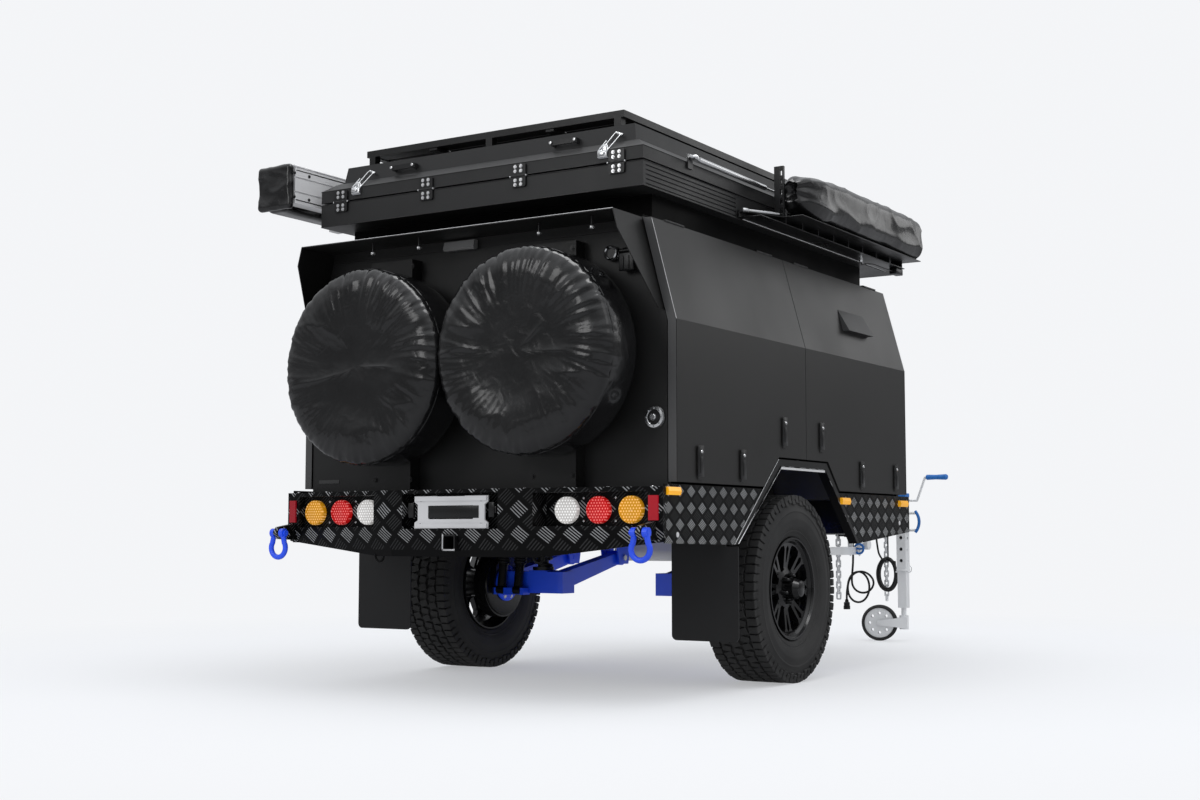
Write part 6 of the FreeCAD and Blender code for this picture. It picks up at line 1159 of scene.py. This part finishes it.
def spare_cover(name, x, z, middle):
    """A laced vinyl cover over a spare wheel: crowned face, gathered rim and a band seam."""
    side = math.copysign(1, x - middle)
    hub = at(x, COVER_FACE_Y, z)
    bm = bmesh.new()
    add_turned(bm, [(r / 1000, -d / 1000) for r, d in COVER_OUTLINE], hub, REAR, 300)
    bmesh.ops.remove_doubles(bm, verts=bm.verts, dist=MERGE)

    def fold(spot, normal):
        """Drawn pleats below the rim, tight gathers on it, and slack waves over the face."""
        away = spot - hub
        r = math.hypot(away.x, away.z)
        angle = math.atan2(away.z, away.x)
        upper = 0.4 + 0.6 * max(0, math.sin(angle + 0.25))
        fade = 1 - 0.6 * min(1, max(0, (r - 0.385) / 0.02))
        pleats = min(1, max(0, (r - 0.19) / 0.14)) * fade
        rim = min(1, max(0, (r - 0.34) / 0.045))
        back = min(1, max(0, (spot.y - hub.y - 0.04) / 0.05))
        around = Vector((math.cos(angle + r * 0.5), math.sin(angle + r * 0.5), x))
        pleat = (1 - abs(noise.noise(around * 8.5)) * 2) ** 2 * 0.007
        coarse = noise.noise(around * 14 + Vector((0, 0, r * 9)))
        gather = noise.noise(around * 26) * 0.0028 + coarse * 0.0036
        slack = noise.noise(Vector((spot.x * 4.6, spot.z * 6, x))) * 0.006
        ridge = creased(spot, 5, (0.8, 1, 1.7)) ** 4 * 0.0034
        drawn = (pleat * pleats * upper + gather * rim) * (1 - 0.75 * back)
        return (slack + ridge) * (1 - rim) + drawn - 0.0015

    push(bm, fold)
    limit = at(middle + side * 0.8, 0, 0).x
    back_y = at(0, -1121, 0).y
    for vert in bm.verts:
        if (vert.co.x - limit) * side < 0:
            vert.co.x = limit
        vert.co.y = min(vert.co.y, back_y)
    keep(name, bm, "trailer", LOOKS["cover_vinyl"], 60, ("spare_covers",))
    seam = []
    for i in range(SEAM_POINTS):
        angle = (math.pi if side > 0 else 0) + 2 * math.pi * i / SEAM_POINTS
        along = x + SEAM_R * math.cos(angle)
        if (along - middle) * side > 4:
            seam.append(at(along, COVER_FACE_Y + 58, z + SEAM_R * math.sin(angle)))
    pipe(name + "_piping", "trailer", LOOKS["cover_vinyl"], [seam], 0.0028)


def side_bag():
    """Roll bag on the tray: its mouth puckered at the rear, its front end square with a flared corner."""
    low, high = at(873, -93, 2002.5), at(1049, 1309, 2212)
    bm = soft_block(low, high, 0.066, (24, 190, 28))
    middle = (low + high) / 2
    length = high.y - low.y

    def fold(spot, normal):
        """Long slack waves with crossing creases, stronger towards the ends."""
        far = spot.y - low.y
        ends = max(0, 1 - far / 0.3) + max(0, 1 - (length - far) / 0.25)
        wave = noise.noise(Vector((spot.x * 7, spot.y * 2.6, spot.z * 7))) * 0.011
        sharp = creased(spot, 5, (1.6, 0.9, 1.6)) ** 3 * 0.005
        drawn = creased(Vector((spot.x * 1.2, spot.y - spot.z * 0.8, spot.z * 2)), 6) ** 4 * 0.005 * ends
        return wave + sharp + drawn - 0.008

    push(bm, fold)
    for vert in bm.verts:
        far = max(0, vert.co.y - low.y)
        away = Vector((vert.co.x - middle.x, 0, vert.co.z - middle.z))
        angle = math.atan2(away.z, away.x)
        open_up = math.sin(math.pi / 2 * min(1, far / 0.21)) ** 0.8
        pucker = 1 + 0.11 * (1 - open_up) * math.cos(angle * 7 + 0.6)
        size = (0.56 + 0.44 * open_up) * pucker
        vert.co.x = middle.x - MOUTH_IN * (1 - open_up) + away.x * size
        vert.co.z = middle.z + MOUTH_UP * (1 - open_up) + away.z * size
        r = math.hypot(vert.co.x - middle.x + MOUTH_IN, vert.co.z - middle.z - MOUTH_UP)
        if far < 0.012:
            vert.co.y += 0.055 * max(0, 1 - r / 0.05) ** 0.7
        nose = max(0, (far - length + 0.065) / 0.065)
        vert.co.y += nose * (0.022 * (vert.co.z - middle.z) / 0.1 - 0.022)
        vert.co.z += 0.004 * nose
        vert.co.z = min(max(vert.co.z, low.z), high.z)
    keep("side_bag_cloth", bm, "trailer", LOOKS["bag_fabric"], 60, ("side_bag",))
    cx, cz, y = middle.x - MOUTH_IN, middle.z + MOUTH_UP, low.y + 0.012
    strap = [Vector((cx - 0.05, y - 0.004, cz + 0.044)), Vector((cx - 0.054, y - 0.01, cz)),
             Vector((cx - 0.046, y - 0.008, cz - 0.052)), Vector((cx - 0.03, y + 0.01, cz - 0.088))]
    pipe("bag_drawcord", "trailer", LOOKS["bag_fabric"], [rounded(strap, 0.02)], 0.0035)


def side_tray():
    """Open-sided tray under the bag: slotted rail, shelf, ribs, slotted upright, brace rod and harness."""
    bm = bmesh.new()
    inner, rail_out, z0, z1, y0, y1 = 822.2, 827.2, 1968, 2001, -330, 1285
    for low_z, high_z in ((z0, z0 + 7), (z1 - 7, z1)):
        add_block(bm, at(inner, y0, low_z), at(rail_out, y1, high_z), 0.0008, 1)
    y = y0
    while y < y1:
        add_block(bm, at(inner, y, z0 + 6), at(rail_out, min(y + 26, y1), z1 - 6), 0.0008, 1)
        y += 86
    add_block(bm, at(inner, y0, z0), at(TRAY_OUT, y1, z0 + 4), 0.001, 1)
    add_block(bm, at(TRAY_IN, UPRIGHT_Y0, z1 - 4), at(1020, y1 - 4, z1), 0.0015, 1)
    for i in range(9):
        y = -93 + 1340 * i / 8
        add_block(bm, at(TRAY_IN, y, z0 + 3), at(TRAY_OUT, y + 6, z1 - 3), 0.0008, 1)
    foot, top, left, right = z1 - 4, 2225, 884, 930
    corners = (inner, y0), (inner + 8, y0), (TRAY_OUT, UPRIGHT_Y0), (inner, -55)
    face = bm.faces.new([bm.verts.new(at(x, y, foot)) for x, y in corners])
    thicken(bm, [face], (0, 0, 0.004))
    for low_x, high_x in ((left, left + 28), (right - 8, right)):
        add_block(bm, at(low_x, UPRIGHT_Y0, foot), at(high_x, UPRIGHT_Y1, top), 0.0015, 1)
    for i in range(6):
        z = foot + (top - 20 - foot) * i / 5
        add_block(bm, at(left + 27, UPRIGHT_Y0, z), at(right - 7, UPRIGHT_Y1, z + 20), 0.001, 1)
    add_block(bm, at(880, 1205, 1937), at(920, 1292, 1968.5), 0.004)
    keep("side_tray_frame", bm, "trailer", PAINT, 38, ("side_tray",))
    edge = [at(829, y, 1967.4) for y in (-300, 1283)]
    pipe("tray_edge_bead", "trailer", ALLOY, [edge], 0.0014)
    bm = bmesh.new()
    start, end = at(834, -316, 2004), at(908, -116, 2012)
    add_cone(bm, start, end, 0.0075, sides=18)
    add_turned(bm, ROD_END, start, end - start, 18)
    add_cone(bm, at(900, 800, 1969), at(900, 802, 1946), 0.0075, sides=14)
    add_cone(bm, at(900, 802, 1948), at(900, 803, 1938), 0.0105, 0.0085, 6)
    keep("tray_brace_rod", bm, "trailer", CHROME)
    pipe("tray_harness", "trailer", RUBBER, [rounded([at(900, y, z) for y, z in HARNESS], 0.05, 8)], 0.0028)


def awning_bag():
    """Vinyl cover of the rolled awning with gathered end hoods round the case's ends."""
    def fold(spot, normal):
        """Slack folds and fine creases in the vinyl."""
        wave = noise.noise(Vector((spot.x * 14, spot.y * 4, spot.z * 14))) * 0.005
        return wave + creased(spot, 9, (1, 0.6, 1.4)) ** 3 * 0.0025 - 0.002

    for name, low, high, cuts in (
            ("side", at(-1049, -1232, 2036), at(-922, 922, 2228), (14, 170, 20)),
            ("rear_hood", at(-1050, -1269, 2034), at(-856, -1231, 2230), (30, 14, 34)),
            ("front_hood", at(-1050, 941.5, 2034), at(-856, 959, 2230), (30, 8, 34))):
        bm = soft_block(low, high, min(0.038, (high.y - low.y) * 0.48), cuts)
        push(bm, fold)
        keep("awning_cover_" + name, bm, "trailer", LOOKS["cover_vinyl"], 60, ("awning_cover",))


def mattress():
    """Quilted mattress in the folded tent: crowned sides, piping and rows of tufts."""
    low, high = [Vector(corner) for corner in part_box("tent_mattress")]
    bm = soft_block(low + Vector((0.002, 0.002, 0)), high - Vector((0.002, 0.002, 0.004)), 0.03, (60, 90, 10))

    def quilt(spot, normal):
        """Tufts in a square grid on the top and slack on the sides."""
        dent = abs(math.sin(spot.x * math.pi / TUFT_STEP)) * abs(math.sin(spot.y * math.pi / TUFT_STEP))
        tuft = -0.014 * (1 - dent) ** 3 if normal.z > 0.6 else 0
        return tuft + noise.noise(spot * 9) * 0.003 - 0.001

    push(bm, quilt)
    made = keep("tent_mattress_cloth", bm, "trailer", LOOKS["tent_fabric"], 60, ("tent_mattress",))
    corners = ((low.x + 0.03, low.y + 0.004), (high.x - 0.03, low.y + 0.004), (high.x - 0.004, high.y - 0.03),
               (low.x + 0.004, high.y - 0.004), (low.x + 0.004, low.y + 0.03))
    route = [Vector((x, y, high.z - 0.012)) for x, y in corners]
    pipe("mattress_piping", "trailer", LOOKS["tent_fabric"], [rounded(route, 0.03)], 0.004)


def coil_connector():
    """The coil's connector, tied in with its turns."""
    bm = bmesh.new()
    add_turned(bm, CONNECTOR, coil_end, (coil_end - coil_back).normalized(), 20)
    return keep("coil_connector", bm, "trailer", RUBBER)


connector = coil_connector()
lid_hardware()
edge_beads()
door_hardware()
skirt_trim()
bar_hardware()
bar_openings()
awning_hardware()
hood_hardware()
running_gear()
for word, side in SIDES:
    tyre(word, side)
for (word, _), (x, z) in zip(SIDES, SPARES):
    spare_cover("spare_cover_" + word, x, z, COVER_MIDDLE)
side_bag()
side_tray()
wall_hardware()
jockey_hardware()
rack_slats()
strut_ends()
awning_bag()
mattress()


# Studio

def studio_floor():
    """Pale floor that takes the shadow and fades into the backdrop further off."""
    bm = bmesh.new()
    bmesh.ops.create_grid(bm, x_segments=1, y_segments=1, size=FLOOR_REACH)
    mesh = bpy.data.meshes.new("studio_floor")
    bm.to_mesh(mesh)
    bm.free()
    made = placed("studio_floor", mesh)
    look = Finish("studio_floor")
    path = look.node("LightPath").outputs
    bounce = look.times(path["Is Glossy Ray"], 0.88)
    seen = look.tint(path["Is Diffuse Ray"], (0.87, 0.88, 0.9), (0.62, 0.62, 0.63))
    look.set(colour=look.tint(bounce, seen, (0.18, 0.18, 0.19)), roughness=0.85, specular=0.1)
    length = look.result("VectorMath", {0: look.place}, "Value", operation="LENGTH")
    far = look.times(look.spread(length, 3, 5.4, FLOOR_GLOW, 1), look.blend(bounce, 1, 0.1))
    glow = look.result("Emission", {"Color": BACKDROP})
    surface = look.result("MixShader", {0: far, 1: look.shader.outputs[0], 2: glow})
    look.feed(look.tree.nodes["Material Output"].inputs["Surface"], surface)
    mesh.materials.append(look.material)


def studio_world():
    """An even white surround, seen by the camera, by gloss and through glass."""
    world = bpy.data.worlds.new("studio")
    bpy.context.scene.world = world
    world.use_nodes = True
    sky = Shader(world.node_tree)
    sky.tree.nodes.clear()
    path = sky.node("LightPath").outputs
    seen = sky.calc("MAXIMUM", path["Is Camera Ray"], path["Is Transmission Ray"])
    seen = sky.calc("MAXIMUM", seen, sky.times(path["Is Glossy Ray"], GLOSS_SHARE))
    height = sky.axes(sky.node("TexCoord").outputs["Generated"])[2]
    gradient = sky.spread(height, 0.12, 0.85, SKY_LOW, SKY_HIGH)
    strength = sky.blend(path["Is Diffuse Ray"], gradient, EVEN_SKY)
    around = sky.result("Background", {"Color": (0.95, 0.97, 1), "Strength": strength})
    backdrop = sky.result("Background", {"Color": BACKDROP})
    surface = sky.result("MixShader", {0: seen, 1: around, 2: backdrop})
    sky.feed(sky.node("OutputWorld").inputs["Surface"], surface)


def softbox(name, place, target, size, power):
    """A rectangular studio light that faces a point."""
    lamp = bpy.data.lights.new(name, "AREA")
    lamp.shape = "RECTANGLE"
    lamp.size, lamp.size_y = size
    lamp.energy = power
    made = placed(name, lamp)
    made.location = place
    made.rotation_euler = (Vector(target) - Vector(place)).to_track_quat("-Z", "Y").to_euler()
    made.visible_camera = False


studio_floor()
studio_world()
softbox("overhead", (0.9, -1.9, 6), (0, -1.2, 1), (2.4, 3.4), 100)
softbox("rear_left", (-1.7, -7.4, 3.4), (0.2, -2.2, 1.5), (1.8, 1.8), 26)
softbox("front_right", (3.6, 5.2, 3.7), (0.8, -0.2, 1.6), (3.2, 2), 20)
softbox("right_side", (6.3, -1.5, 5.3), (0.8, -0.8, 1.5), (3.4, 2.2), 13)
bpy.context.scene.view_settings.view_transform = "Standard"
